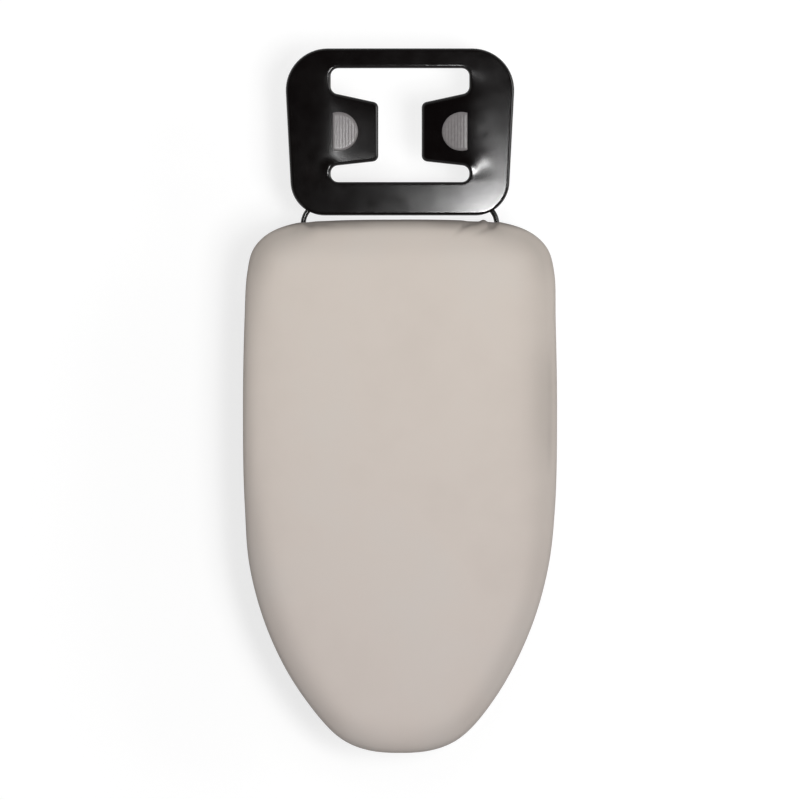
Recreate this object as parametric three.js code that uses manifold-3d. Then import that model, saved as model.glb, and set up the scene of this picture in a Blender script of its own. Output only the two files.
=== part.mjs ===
// Tabletop ironing board with a pressed steel iron rest and two folding legs.
// Millimetres, +Z up. The nose points to -Y, the iron rest to +Y, and the table top is z = 0.
import * as THREE from 'three';
import { mergeGeometries, mergeVertices } from 'three/addons/utils/BufferGeometryUtils.js';
import Module from 'manifold-3d';

const wasm = await Module();
wasm.setup();

// Clearances: GAP between neighbours that touch, OVERLAP where two solids are joined into one.
const GAP = 0.3;
const OVERLAP = 0.6;
// Cutting solids run this far past the face they open.
const PAST = 1;
// Edges shorter than this, left by cutting, are closed up.
const SLIVER = 0.01;

// The covered board, seen from above.
const BOARD_LENGTH = 560;
const BOARD_WIDTH = 330;
// Half of its outline: [part of the half width, part of the length from the heel].
const OUTLINE_RATIOS = [
  [0, 0], [0.42, 0.0018], [0.68, 0.0078], [0.845, 0.0275], [0.935, 0.056],
  [0.973, 0.1], [0.99, 0.187], [1, 0.36], [0.988, 0.535], [0.942, 0.655],
  [0.825, 0.773], [0.615, 0.893], [0.395, 0.968], [0.2, 0.9915], [0, 1],
];
const STATIONS_PER_SPAN = 2;

// Layers of the board, from the rim up.
const RIM_DIAMETER = 14;
const MESH_THICKNESS = 1.2;
const PAD_THICKNESS = 5.5;
const COVER_THICKNESS = 1.4;
const SHOULDER = 15;

// Hem under the board, with a flat elastic tape in its fold.
const HEM_REACH = 30;
const TAPE_WIDTH = 8;
const TAPE_THICKNESS = 1;

// Expanded mesh: one diamond of the pattern, the strand between two, and the plain border.
const DIAMOND_LENGTH = 56;
const DIAMOND_WIDTH = 29;
const STRAND = 3.4;
const MESH_BORDER = 20;

// Cross rails, by their distance from the heel.
const RAIL_WIDTH = 22;
const RAIL_SHEET = 1.5;
const HEEL_RAIL_AT = 48;
const REAR_RAIL_AT = 106;

// Folding legs.
const LEG_DIAMETER = 12;
const LEG_LENGTH = 140;
const LEG_BEND = 30;
const LEG_SPLAY_ANGLE = THREE.MathUtils.degToRad(12);
const LUG_THICKNESS = 4.4;
const LUG_RADIUS = 8.5;
const FOOT_WALL = 2.6;
const FOOT_LENGTH = 34;
const SOLE_CUT = 0.9;
// Room between the two legs when they lie folded, end to end, and between a bracket and the hem.
const FOLD_CLEARANCE = 6.2;
const HEM_CLEARANCE = 1.2;

// Leg hinges.
const PIN_RADIUS = 2.9;
const PIN_HEAD_RADIUS = 5;
const PIN_HEAD = 2;
const WASHER_RADIUS = 7.4;
const WASHER_THICKNESS = 1.5;
const BRACKET_SHEET = 2;
const BRACKET_HALF = 12;
const EAR_RADIUS = 11;
const STOP_DEPTH = 14;
const RIVET_RADIUS = 1.6;
const RIVET_HEAD_RADIUS = 2.5;
const RIVET_HEAD = 1.4;

// Iron rest: a pressed plate on a rod hoop. The plate is measured from its edge at the board,
// and its half width from the rods: it stands out past them, and flares to its far end.
const REST_GAP = 5;
const REST_LENGTH = 176;
const REST_PAST_ROD = 11.6;
const REST_FLARE = 9.2;
const REST_CORNER_NEAR = 36;
const REST_CORNER_FAR = 44;
const REST_SHEET = 1.2;
const REST_ROLL = 3;
const REST_RIM = 8;
const REST_LIP = 3.6;
const ROD_DIAMETER = 5.5;
const ROD_CLEARANCE = 0.6;
const ROD_SHIFT = 14;
const ROD_BEND = 22;
const HOOP_BEND = 28;
const NEAR_BAND = 35.2;
const FAR_BAND = 21;

// Its H-shaped opening: two slots across, joined between the tabs.
const HOOP_TO_SLOT = 15;
const NEAR_SLOT_WIDTH = 16.6;
const FAR_SLOT_WIDTH = 25.5;
const TAB_LENGTH = 50.1;
const CREASE_IN = 1.4;
const TAB_RISE = 5.8;
const TAB_DROP = 10.5;
const SLOT_CORNER = 8;
const TAB_CORNER = 6.5;
const TAB_SLOPE_ANGLE = THREE.MathUtils.degToRad(8);
const REST_PAD_RADIUS = 20.5;
const REST_PAD_IN = 6.3;
const REST_PAD_THICKNESS = 2.6;

// Straps that hold the hoop.
const STRAP_SHEET = 1.2;
const STRAP_LENGTH = 12;
const SADDLE_HALF = 7.4;
const CLIP_FOOT = 17;

// Heights and positions that follow from the sizes above.
const OVERALL_LENGTH = BOARD_LENGTH + REST_GAP + REST_LENGTH;
const HEEL_Y = BOARD_LENGTH - OVERALL_LENGTH / 2;
const FOOT_RADIUS = LEG_DIAMETER / 2 + GAP + FOOT_WALL;
const FRONT_RAIL_AT = REAR_RAIL_AT + 2 * (LEG_LENGTH + FOOT_RADIUS) + FOLD_CLEARANCE;
const HINGE_Z = FOOT_RADIUS - SOLE_CUT + LEG_LENGTH * Math.cos(LEG_SPLAY_ANGLE);
const AXIS_TO_BASE = LUG_RADIUS + 4.5;
const RAIL_Z = HINGE_Z + AXIS_TO_BASE + BRACKET_SHEET + GAP;
const HEM_DROP = 2 * COVER_THICKNESS + TAPE_THICKNESS + 2 * GAP;
const SKIRT_Z = RAIL_Z + HEM_DROP;
const RIM_Z = SKIRT_Z + GAP + RIM_DIAMETER / 2;
const MESH_Z = RIM_Z + RIM_DIAMETER / 2 + GAP;
const PAD_Z = MESH_Z + MESH_THICKNESS + GAP;
const COVER_Z = PAD_Z + PAD_THICKNESS + GAP;
const RIM_INSET = COVER_THICKNESS + GAP;
const ROD_Z = RAIL_Z - GAP - ROD_DIAMETER / 2;
const PLATE_Z = ROD_Z + ROD_DIAMETER / 2 + GAP + REST_SHEET;
const PLATE_Y = HEEL_Y + REST_GAP;
const NEAR_SLOT = [NEAR_BAND, NEAR_BAND + NEAR_SLOT_WIDTH];
const FAR_SLOT = [REST_LENGTH - FAR_BAND - FAR_SLOT_WIDTH, REST_LENGTH - FAR_BAND];

// Turns a closed geometry into a solid for joining and cutting, and back.
function solid(geometry) {
  const bare = geometry.clone();
  bare.deleteAttribute('normal');
  bare.deleteAttribute('uv');
  const welded = mergeVertices(bare, 1e-4);
  const vertProperties = new Float32Array(welded.attributes.position.array);
  const triVerts = new Uint32Array(welded.index.array);
  return new wasm.Manifold(new wasm.Mesh({ numProp: 3, vertProperties, triVerts }));
}

function surface(body) {
  const result = body.getMesh();
  const geometry = new THREE.BufferGeometry();
  geometry.setAttribute('position', new THREE.Float32BufferAttribute(result.vertProperties, 3));
  geometry.setIndex([...result.triVerts]);
  return geometry;
}

// A box given by its low and high corners.
function block(low, high) {
  const size = high.map((value, axis) => value - low[axis]);
  const geometry = new THREE.BoxGeometry(...size);
  return geometry.translate(...low.map((value, axis) => value + size[axis] / 2));
}

// A drawn outline given depth along +Z.
function prism(points, depth, holes = []) {
  const shape = new THREE.Shape(points);
  holes.forEach((hole) => shape.holes.push(new THREE.Path(hole)));
  return new THREE.ExtrudeGeometry(shape, { depth, bevelEnabled: false });
}

// A circle as an even polygon, and the corner radius that keeps its flats on the true radius.
function circle(radius, sides, x = 0, y = 0) {
  return Array.from({ length: sides }, (_, i) => {
    const angle = (2 * Math.PI * (i + 0.5)) / sides;
    return new THREE.Vector2(x + radius * Math.cos(angle), y + radius * Math.sin(angle));
  });
}

function overFlats(radius, sides) {
  return radius / Math.cos(Math.PI / sides);
}

// A polygon's corners, each [x, y, radius], rounded by arcs.
function rounded(corners, stepsPerQuarter) {
  return corners.flatMap(([x, y, radius], i) => {
    const corner = new THREE.Vector2(x, y);
    const before = new THREE.Vector2(...corners.at(i - 1)).sub(corner).normalize();
    const after = new THREE.Vector2(...corners[(i + 1) % corners.length]).sub(corner).normalize();
    const half = Math.acos(before.dot(after)) / 2;
    const middle = before.clone().add(after).normalize();
    const centre = middle.multiplyScalar(radius / Math.sin(half)).add(corner);
    const start = before.multiplyScalar(radius / Math.tan(half)).add(corner).sub(centre);
    const end = after.multiplyScalar(radius / Math.tan(half)).add(corner).sub(centre);
    const turn = Math.atan2(start.cross(end), start.dot(end));
    const steps = Math.max(2, Math.round((Math.abs(turn) / (Math.PI / 2)) * stepsPerQuarter));
    return Array.from({ length: steps + 1 }, (_, k) => {
      return start.clone().rotateAround(new THREE.Vector2(), (turn * k) / steps).add(centre);
    });
  });
}

// Skins a run of rings, and caps both ends or joins the last ring to the first.
function loft(rings, closed = false) {
  const count = rings[0].length;
  const points = rings.flat();
  const index = [];
  const joints = closed ? rings.length : rings.length - 1;
  for (let r = 0; r < joints; r += 1) {
    const low = r * count;
    const high = ((r + 1) % rings.length) * count;
    for (let i = 0; i < count; i += 1) {
      const j = (i + 1) % count;
      index.push(low + i, low + j, high + j, low + i, high + j, high + i);
    }
  }
  if (!closed) {
    [0, rings.length - 1].forEach((r) => {
      const centre = new THREE.Vector3();
      rings[r].forEach((p) => centre.addScaledVector(p, 1 / count));
      points.push(centre);
      for (let i = 0; i < count; i += 1) {
        const edge = [r * count + i, r * count + ((i + 1) % count)];
        index.push(points.length - 1, ...(r === 0 ? edge.reverse() : edge));
      }
    });
  }
  let volume = 0;
  for (let k = 0; k < index.length; k += 3) {
    const [a, b, c] = [points[index[k]], points[index[k + 1]], points[index[k + 2]]];
    volume += a.dot(b.clone().cross(c));
  }
  if (volume < 0) {
    index.reverse();
  }
  const geometry = new THREE.BufferGeometry();
  const flat = points.flatMap((p) => [p.x, p.y, p.z]);
  geometry.setAttribute('position', new THREE.Float32BufferAttribute(flat, 3));
  geometry.setIndex(index);
  return geometry;
}

// The board's outline as a closed curve, clockwise from the heel's middle.
const edgeHalf = OUTLINE_RATIOS.map(([across, along]) => {
  return new THREE.Vector3((across * BOARD_WIDTH) / 2, HEEL_Y - along * BOARD_LENGTH, 0);
});
const edgeOther = edgeHalf.slice(1, -1).reverse().map((p) => new THREE.Vector3(-p.x, p.y, 0));
const boardEdge = new THREE.CatmullRomCurve3([...edgeHalf, ...edgeOther], true);
const STATIONS = STATIONS_PER_SPAN * boardEdge.points.length;

// One turn of the outline, drawn in by an inset, at a height.
function outlineRing(inset, z) {
  return Array.from({ length: STATIONS }, (_, i) => {
    const at = boardEdge.getPoint(i / STATIONS);
    const along = boardEdge.getTangent(i / STATIONS);
    return new THREE.Vector3(at.x + along.y * inset, at.y - along.x * inset, z);
  });
}

// A section, listed as [inset, height], carried once round the board.
function roundBoard(section, closed = false) {
  return loft(section.map(([inset, z]) => outlineRing(inset, z)), closed);
}

// The space inside the outline, drawn in by an inset, between two heights.
function boardPrism(inset, low, high) {
  return prism(outlineRing(inset, 0), high - low).translate(0, 0, low);
}

// A bent bar: rings along a flat path, sized by a section function of the distance run.
function bentBar(path, across, section) {
  let run = 0;
  const rings = path.map((at, i) => {
    const back = path[Math.max(i - 1, 0)];
    const ahead = path[Math.min(i + 1, path.length - 1)];
    const side = ahead.clone().sub(back).normalize().cross(across);
    run += at.distanceTo(back);
    return section(run).map((p) => at.clone().addScaledVector(side, p.x).addScaledVector(across, p.y));
  });
  return loft(rings);
}

// Everything on the deck side belongs to this one group.
const board = new THREE.Group();
board.name = 'tabletop_ironing_board';

function piece(name, geometry, color, roughness, metalness) {
  geometry.computeVertexNormals();
  const mesh = new THREE.Mesh(geometry, new THREE.MeshStandardMaterial({ color, roughness, metalness }));
  mesh.name = name;
  return mesh;
}

const blackSteel = (name, geometry) => piece(name, geometry, 0x161315, 0.35, 0.5);
const zincSteel = (name, geometry) => piece(name, geometry, 0x9a9d9f, 0.45, 0.9);

// Rim tube, felt, cover and hem tape all follow the outline.
const rimRadius = overFlats(RIM_DIAMETER / 2, 8);
const rimSection = circle(rimRadius, 8, RIM_INSET + RIM_DIAMETER / 2, RIM_Z).map((p) => [p.x, p.y]);
board.add(blackSteel('rim_tube', roundBoard(rimSection, true)));

const padTop = PAD_Z + PAD_THICKNESS;
const padSection = [
  [SHOULDER, PAD_Z],
  [RIM_INSET + 0.2 * SHOULDER, PAD_Z],
  [RIM_INSET + 0.09 * SHOULDER, PAD_Z + 0.25 * PAD_THICKNESS],
  [RIM_INSET + 0.17 * SHOULDER, PAD_Z + 0.65 * PAD_THICKNESS],
  [0.55 * SHOULDER, padTop - 0.1 * PAD_THICKNESS],
  [SHOULDER, padTop],
];
board.add(piece('felt_underlay', roundBoard(padSection), 0xd8d4cc, 1, 0));

const skirtLow = SKIRT_Z - COVER_THICKNESS;
const tapeLow = skirtLow - TAPE_THICKNESS - 2 * GAP;
const hemOut = HEM_REACH - TAPE_WIDTH - 2 * GAP - COVER_THICKNESS;
const coverSection = [
  [SHOULDER, COVER_Z],
  [0.5 * SHOULDER, COVER_Z - 0.1 * PAD_THICKNESS],
  [COVER_THICKNESS + 0.08 * SHOULDER, COVER_Z - 0.45 * PAD_THICKNESS],
  [COVER_THICKNESS, PAD_Z],
  [COVER_THICKNESS, RIM_Z - 0.2 * RIM_DIAMETER],
  [COVER_THICKNESS + 0.115 * RIM_DIAMETER, RIM_Z - 0.41 * RIM_DIAMETER],
  [RIM_INSET + 0.26 * RIM_DIAMETER, SKIRT_Z],
  [HEM_REACH, SKIRT_Z],
  [HEM_REACH, tapeLow - COVER_THICKNESS],
  [hemOut, tapeLow - COVER_THICKNESS],
  [hemOut, tapeLow],
  [HEM_REACH - COVER_THICKNESS, tapeLow],
  [HEM_REACH - COVER_THICKNESS, skirtLow],
  [RIM_INSET + 0.26 * RIM_DIAMETER, skirtLow],
  [COVER_THICKNESS, RIM_Z - 0.48 * RIM_DIAMETER],
  [0, RIM_Z - 0.2 * RIM_DIAMETER],
  [0, PAD_Z],
  [0.08 * SHOULDER, COVER_Z - 0.2 * PAD_THICKNESS],
  [0.5 * SHOULDER, COVER_Z + 0.8 * COVER_THICKNESS],
  [SHOULDER, COVER_Z + COVER_THICKNESS],
];
board.add(piece('cover', roundBoard(coverSection), 0xc9bfb8, 0.85, 0));

const tapeIn = HEM_REACH - COVER_THICKNESS - GAP;
const tapeSection = [
  [tapeIn, skirtLow - GAP],
  [tapeIn, tapeLow + GAP],
  [tapeIn - TAPE_WIDTH, tapeLow + GAP],
  [tapeIn - TAPE_WIDTH, skirtLow - GAP],
];
board.add(piece('hem_elastic', roundBoard(tapeSection, true), 0xe8e6e0, 0.9, 0));

// Expanded mesh: diamonds in offset rows, kept where they lie inside the border.
function meshDeck() {
  const inside = outlineRing(MESH_BORDER, 0);
  const fits = (p) => {
    return inside.every((a, i) => {
      const b = inside[(i + 1) % inside.length];
      return (b.x - a.x) * (p.y - a.y) - (b.y - a.y) * (p.x - a.x) < 0;
    });
  };
  const [rise, reach] = [DIAMOND_LENGTH / 2, DIAMOND_WIDTH / 2];
  const shrink = 1 - (STRAND * Math.hypot(rise, reach)) / (2 * rise * reach);
  const holes = [];
  const rows = Math.ceil(BOARD_LENGTH / rise);
  const columns = Math.ceil(BOARD_WIDTH / DIAMOND_WIDTH);
  for (let row = 0; row <= rows; row += 1) {
    for (let column = -columns; column <= columns; column += 1) {
      const x = (column + (row % 2) / 2) * DIAMOND_WIDTH;
      const y = HEEL_Y - row * rise;
      const diamond = [[reach, 0], [0, rise], [-reach, 0], [0, -rise]].map(([dx, dy]) => {
        return new THREE.Vector2(x + shrink * dx, y + shrink * dy);
      });
      if (diamond.every(fits)) {
        holes.push(prism(diamond, 3 * MESH_THICKNESS).translate(0, 0, MESH_Z - MESH_THICKNESS));
      }
    }
  }
  const sheet = boardPrism(RIM_INSET + 0.25 * RIM_DIAMETER, MESH_Z, MESH_Z + MESH_THICKNESS);
  return surface(solid(sheet).subtract(solid(mergeGeometries(holes))));
}
board.add(zincSteel('mesh_deck', meshDeck()));

// Cross rails: U-channels under the mesh. Their ends are cut up to pass over the hem.
const railTop = MESH_Z - GAP;
const hemClear = HEM_REACH + 2 * GAP;

function rail(at, bottom, holesAt) {
  const y = HEEL_Y - at;
  const half = RAIL_WIDTH / 2;
  const reach = BOARD_WIDTH / 2;
  const trough = half - RAIL_SHEET;
  const bar = solid(block([-reach, y - half, bottom], [reach, y + half, railTop]));
  const hollowLow = [-reach - PAST, y - trough, bottom + RAIL_SHEET];
  const hollow = block(hollowLow, [reach + PAST, y + trough, railTop + PAST]);
  const channel = bar.subtract(solid(hollow));
  const ends = solid(boardPrism(RIM_INSET + RIM_DIAMETER + GAP, SKIRT_Z + GAP, railTop + PAST));
  const middle = solid(boardPrism(hemClear, bottom - PAST, railTop + PAST));
  let body = channel.intersect(ends.add(middle));
  holesAt.forEach((x) => {
    const hole = prism(circle(RIVET_RADIUS + GAP, 8, x, y), RAIL_SHEET + 2 * PAST);
    body = body.subtract(solid(hole.translate(0, 0, bottom - PAST)));
  });
  return surface(body);
}

// Half of the clear width between the two sides of the hem, at a distance from the heel.
function clearHalf(at) {
  const side = outlineRing(hemClear, 0).slice(0, STATIONS / 2 + 1);
  const next = side.findIndex((p) => p.y < HEEL_Y - at);
  const [a, b] = [side[next - 1], side[next]];
  return THREE.MathUtils.mapLinear(HEEL_Y - at, a.y, b.y, a.x, b.x);
}

// Leg brackets stand as far apart as the hem allows, where it is narrowest along their length.
const stopAt = STOP_DEPTH * Math.tan(LEG_SPLAY_ANGLE) + LUG_RADIUS / Math.cos(LEG_SPLAY_ANGLE) + GAP;
const bracketReach = stopAt + BRACKET_SHEET;
const legHalf = (at) => {
  const narrowest = Math.min(clearHalf(at - bracketReach), clearHalf(at + bracketReach));
  return narrowest - BRACKET_HALF - HEM_CLEARANCE;
};
const frontLegHalf = legHalf(FRONT_RAIL_AT);
const rearLegHalf = legHalf(REAR_RAIL_AT);

const rivetsAt = (half) => {
  const out = BRACKET_HALF - RIVET_HEAD_RADIUS - GAP;
  return [-half - out, -half + out, half - out, half + out];
};
const centreRailAt = (REAR_RAIL_AT + FRONT_RAIL_AT) / 2;
board.add(blackSteel('heel_rail', rail(HEEL_RAIL_AT, RAIL_Z, [])));
board.add(blackSteel('rear_rail', rail(REAR_RAIL_AT, RAIL_Z, rivetsAt(rearLegHalf))));
board.add(blackSteel('centre_rail', rail(centreRailAt, SKIRT_Z + GAP, [])));
board.add(blackSteel('front_rail', rail(FRONT_RAIL_AT, RAIL_Z, rivetsAt(frontLegHalf))));

// Leg bracket, drawn about its hinge axis: u points out to the board's end, v up, thickness along X.
const earIn = LUG_THICKNESS / 2 + WASHER_THICKNESS + 2 * GAP;
const earOut = earIn + BRACKET_SHEET;

function bracket() {
  const baseTop = AXIS_TO_BASE + BRACKET_SHEET;
  const profile = new THREE.Shape();
  profile.moveTo(bracketReach, AXIS_TO_BASE + OVERLAP);
  profile.lineTo(-EAR_RADIUS, AXIS_TO_BASE + OVERLAP);
  profile.lineTo(-EAR_RADIUS, 0);
  profile.absarc(0, 0, EAR_RADIUS, Math.PI, 1.6 * Math.PI, false);
  profile.lineTo(bracketReach, -STOP_DEPTH);
  const side = profile.extractPoints(5).shape;
  const full = solid(prism(side, 2 * earOut).translate(0, 0, -earOut));
  const inside = solid(block([-2 * EAR_RADIUS, -2 * STOP_DEPTH, -earIn], [stopAt, AXIS_TO_BASE, earIn]));
  const pinHole = solid(prism(circle(PIN_RADIUS + GAP, 10), 4 * earOut).translate(0, 0, -2 * earOut));
  const baseLow = [-EAR_RADIUS, AXIS_TO_BASE, -BRACKET_HALF];
  const base = solid(block(baseLow, [bracketReach, baseTop, BRACKET_HALF]));
  let body = full.subtract(inside).subtract(pinHole).add(base);
  rivetsAt(0).slice(0, 2).forEach((x) => {
    const hole = prism(circle(RIVET_RADIUS + GAP, 8), 3 * BRACKET_SHEET);
    hole.rotateX(-Math.PI / 2).translate(0, AXIS_TO_BASE - BRACKET_SHEET, x);
    body = body.subtract(solid(hole));
  });
  return surface(body);
}

// Turned parts: a half profile of [radius, height] spun about Y.
function turned(profile, sides) {
  return mergeVertices(new THREE.LatheGeometry(profile.map((p) => new THREE.Vector2(...p)), sides), 1e-4);
}

function hingePin() {
  const end = earOut + GAP;
  const dome = 0.6 * PIN_HEAD_RADIUS;
  return turned([
    [0, -end - PIN_HEAD], [dome, -end - PIN_HEAD], [PIN_HEAD_RADIUS, -end - 0.4 * PIN_HEAD],
    [PIN_HEAD_RADIUS, -end], [PIN_RADIUS, -end], [PIN_RADIUS, end], [PIN_HEAD_RADIUS, end],
    [PIN_HEAD_RADIUS, end + 0.4 * PIN_HEAD], [dome, end + PIN_HEAD], [0, end + PIN_HEAD],
  ], 10).rotateZ(Math.PI / 2);
}

function rivet() {
  const low = RAIL_Z - BRACKET_SHEET - 2 * GAP;
  const high = RAIL_Z + RAIL_SHEET + GAP;
  return turned([
    [0, low - RIVET_HEAD], [0.6 * RIVET_HEAD_RADIUS, low - RIVET_HEAD], [RIVET_HEAD_RADIUS, low],
    [RIVET_RADIUS, low], [RIVET_RADIUS, high], [RIVET_HEAD_RADIUS, high],
    [0.8 * RIVET_HEAD_RADIUS, high + 0.7 * RIVET_HEAD], [0, high + 0.7 * RIVET_HEAD],
  ], 8).rotateX(Math.PI / 2);
}

function washer() {
  const ring = prism(circle(WASHER_RADIUS, 12), WASHER_THICKNESS, [circle(PIN_RADIUS + GAP, 10)]);
  return ring.rotateY(Math.PI / 2).translate(-WASHER_THICKNESS / 2, 0, 0);
}

// One leg, drawn straight down from its hinge axis: lugs at both ends, a round tube between.
function legTube(half) {
  const path = [];
  const bendSteps = 5;
  const down = LEG_LENGTH - LEG_BEND;
  const lugStops = [-1, -0.8, -0.45, 0, 1.6, 2.6, 3.6, 4.6].map((k) => -k * LUG_RADIUS);
  lugStops.forEach((z) => path.push(new THREE.Vector3(half, 0, z)));
  for (let k = 0; k <= bendSteps; k += 1) {
    const angle = (Math.PI / 2) * (k / bendSteps);
    const x = half - LEG_BEND * (1 - Math.cos(angle));
    path.push(new THREE.Vector3(x, 0, -down - LEG_BEND * Math.sin(angle)));
  }
  const other = path.slice().reverse().map((p) => new THREE.Vector3(-p.x, p.y, p.z));
  const whole = [...path, ...other];
  const round = LEG_DIAMETER / 2;
  const total = whole.reduce((sum, p, i) => sum + (i ? p.distanceTo(whole[i - 1]) : 0), 0);
  // From the lug's round end, through the flat, to the full tube.
  const section = (run) => {
    const fromAxis = Math.min(run, total - run) - LUG_RADIUS;
    const flat = 1 - THREE.MathUtils.smoothstep(fromAxis, 1.6 * LUG_RADIUS, 4.6 * LUG_RADIUS);
    const wide = THREE.MathUtils.lerp(round, LUG_RADIUS, flat);
    const end = fromAxis < 0 ? Math.sqrt(Math.max(LUG_RADIUS ** 2 - fromAxis ** 2, 1)) / LUG_RADIUS : 1;
    const thick = THREE.MathUtils.lerp(round, LUG_THICKNESS / 2, flat);
    const power = THREE.MathUtils.lerp(1, 0.45, flat);
    return circle(1, 10).map((p) => {
      const x = Math.sign(p.x) * Math.abs(p.x) ** power * thick;
      return new THREE.Vector2(x, Math.sign(p.y) * Math.abs(p.y) ** power * wide * end);
    });
  };
  let body = solid(bentBar(whole, new THREE.Vector3(0, 1, 0), section));
  const hole = prism(circle(PIN_RADIUS + GAP, 10), 3 * LUG_RADIUS).rotateY(Math.PI / 2);
  [-half, half].forEach((x) => {
    body = body.subtract(solid(hole.clone().translate(x - 1.5 * LUG_RADIUS, 0, 0)));
  });
  return surface(body);
}

// Rubber sleeve round the floor bar, with a flat sole.
function footSleeve() {
  const low = FOOT_RADIUS - SOLE_CUT;
  const lean = Math.asin(low / FOOT_RADIUS);
  const shape = new THREE.Shape();
  shape.absarc(0, 0, FOOT_RADIUS, -lean, Math.PI + lean, false);
  const bore = overFlats(LEG_DIAMETER / 2 + GAP, 12);
  const outline = shape.extractPoints(16).shape;
  const sleeve = prism(outline, FOOT_LENGTH, [circle(bore, 12)]);
  return sleeve.rotateX(Math.PI / 2).rotateZ(Math.PI / 2).translate(-FOOT_LENGTH / 2, 0, 0);
}

// One leg with its feet and washers, and the brackets, pins and rivets it hangs from.
function addLeg(name, half, at, outward) {
  const y = HEEL_Y - at;
  const leg = new THREE.Group();
  leg.name = `${name}_leg_group`;
  leg.position.set(0, y, HINGE_Z);
  leg.rotation.x = outward * LEG_SPLAY_ANGLE;
  leg.add(blackSteel(`${name}_leg`, legTube(half)));
  board.add(leg);
  [['left', -1], ['right', 1]].forEach(([hand, side]) => {
    const x = side * half;
    const foot = piece(`${name}_foot_${hand}`, footSleeve(), 0x2b2b2c, 0.9, 0);
    foot.position.set(side * (half - LEG_BEND - FOOT_LENGTH / 2), 0, -LEG_LENGTH);
    foot.rotation.x = -leg.rotation.x;
    leg.add(foot);
    [['outer', 1], ['inner', -1]].forEach(([face, way]) => {
      const ring = piece(`${name}_washer_${hand}_${face}`, washer(), 0xe9e7e1, 0.6, 0);
      ring.position.x = x + side * way * (LUG_THICKNESS / 2 + GAP + WASHER_THICKNESS / 2);
      leg.add(ring);
    });
    const clevis = blackSteel(`${name}_bracket_${hand}`, bracket());
    clevis.geometry.rotateX(Math.PI / 2).rotateZ((outward * Math.PI) / 2);
    clevis.position.set(x, y, HINGE_Z);
    board.add(clevis);
    const pin = zincSteel(`${name}_pin_${hand}`, hingePin());
    pin.position.set(x, y, HINGE_Z);
    board.add(pin);
    rivetsAt(0).slice(0, 2).forEach((dx, i) => {
      const fastener = zincSteel(`${name}_rivet_${hand}_${i + 1}`, rivet());
      fastener.position.set(x + dx, y, 0);
      board.add(fastener);
    });
  });
}
addLeg('front', frontLegHalf, FRONT_RAIL_AT, -1);
addLeg('rear', rearLegHalf, REAR_RAIL_AT, 1);

// Rest hoop: rod legs under the board, an S-bend in to the plate, and a far bar.
// The rods pass close inside the rear leg's brackets, and the plate takes its widths from them.
const rodRadius = overFlats(ROD_DIAMETER / 2, 8);
const strapInner = overFlats(rodRadius + GAP, 16);
const strapOuter = strapInner + STRAP_SHEET;
const rodHalf = rearLegHalf - BRACKET_HALF - strapOuter - ROD_CLEARANCE;
const hoopHalf = rodHalf - ROD_SHIFT;
const slotHalf = hoopHalf - HOOP_TO_SLOT;
const crease = slotHalf - CREASE_IN;
const restHalfNear = rodHalf + REST_PAST_ROD;
const restHalfFar = restHalfNear + REST_FLARE;
const hoopFarY = PLATE_Y + REST_LENGTH - FAR_BAND / 2;

function restHoop() {
  const rodEnd = HEEL_Y - REAR_RAIL_AT - RAIL_WIDTH / 2;
  const corners = [
    [rodHalf, rodEnd, 0],
    [rodHalf, PLATE_Y, ROD_BEND],
    [hoopHalf, PLATE_Y + ROD_SHIFT, ROD_BEND],
    [hoopHalf, hoopFarY, HOOP_BEND],
  ];
  const both = [...corners, ...corners.slice().reverse().map(([x, y, r]) => [-x, y, r])];
  const path = rounded(both, 6).map((p) => new THREE.Vector3(p.x, p.y, ROD_Z));
  const bends = path.filter((p, i) => i === 0 || p.distanceTo(path[i - 1]) > OVERLAP);
  return bentBar(bends, new THREE.Vector3(0, 0, 1), () => circle(rodRadius, 8));
}
board.add(blackSteel('rest_hoop', restHoop()));

// Outlines of the rest plate, in its own plane: drawn in by an inset, or its opening grown.
function plateOutline(inset) {
  const near = [restHalfNear - inset, inset, REST_CORNER_NEAR - inset];
  const far = [restHalfFar - inset, REST_LENGTH - inset, REST_CORNER_FAR - inset];
  const left = [far, near].map(([x, y, r]) => [-x, y, r]);
  return rounded([near, far, ...left], 6);
}

function plateOpening(grow) {
  const side = slotHalf + grow;
  const tab = slotHalf - TAB_LENGTH + grow;
  const [nearLow, nearHigh] = [NEAR_SLOT[0] - grow, NEAR_SLOT[1] + grow];
  const [farLow, farHigh] = [FAR_SLOT[0] - grow, FAR_SLOT[1] + grow];
  const slot = SLOT_CORNER + grow;
  const turn = TAB_CORNER - grow;
  const right = [
    [side, nearLow, slot], [side, nearHigh, slot], [tab, nearHigh + TAB_RISE, turn],
    [tab, farLow - TAB_DROP, turn], [side, farLow, slot], [side, farHigh, slot],
  ];
  const left = right.slice().reverse().map(([x, y, r]) => [-x, y, r]);
  return rounded([...right, ...left], 3);
}

// A plate-shaped solid whose top edges are rolled over by a radius.
function rolledPlate(inset, roll, top) {
  const shape = new THREE.Shape(plateOutline(inset));
  shape.holes.push(new THREE.Path(plateOpening(inset)));
  const depth = 3 * REST_RIM;
  const geometry = new THREE.ExtrudeGeometry(shape, {
    depth, bevelThickness: roll, bevelSize: roll, bevelOffset: -roll, bevelSegments: 3,
  });
  return solid(geometry.translate(0, 0, top - depth - roll));
}

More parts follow.
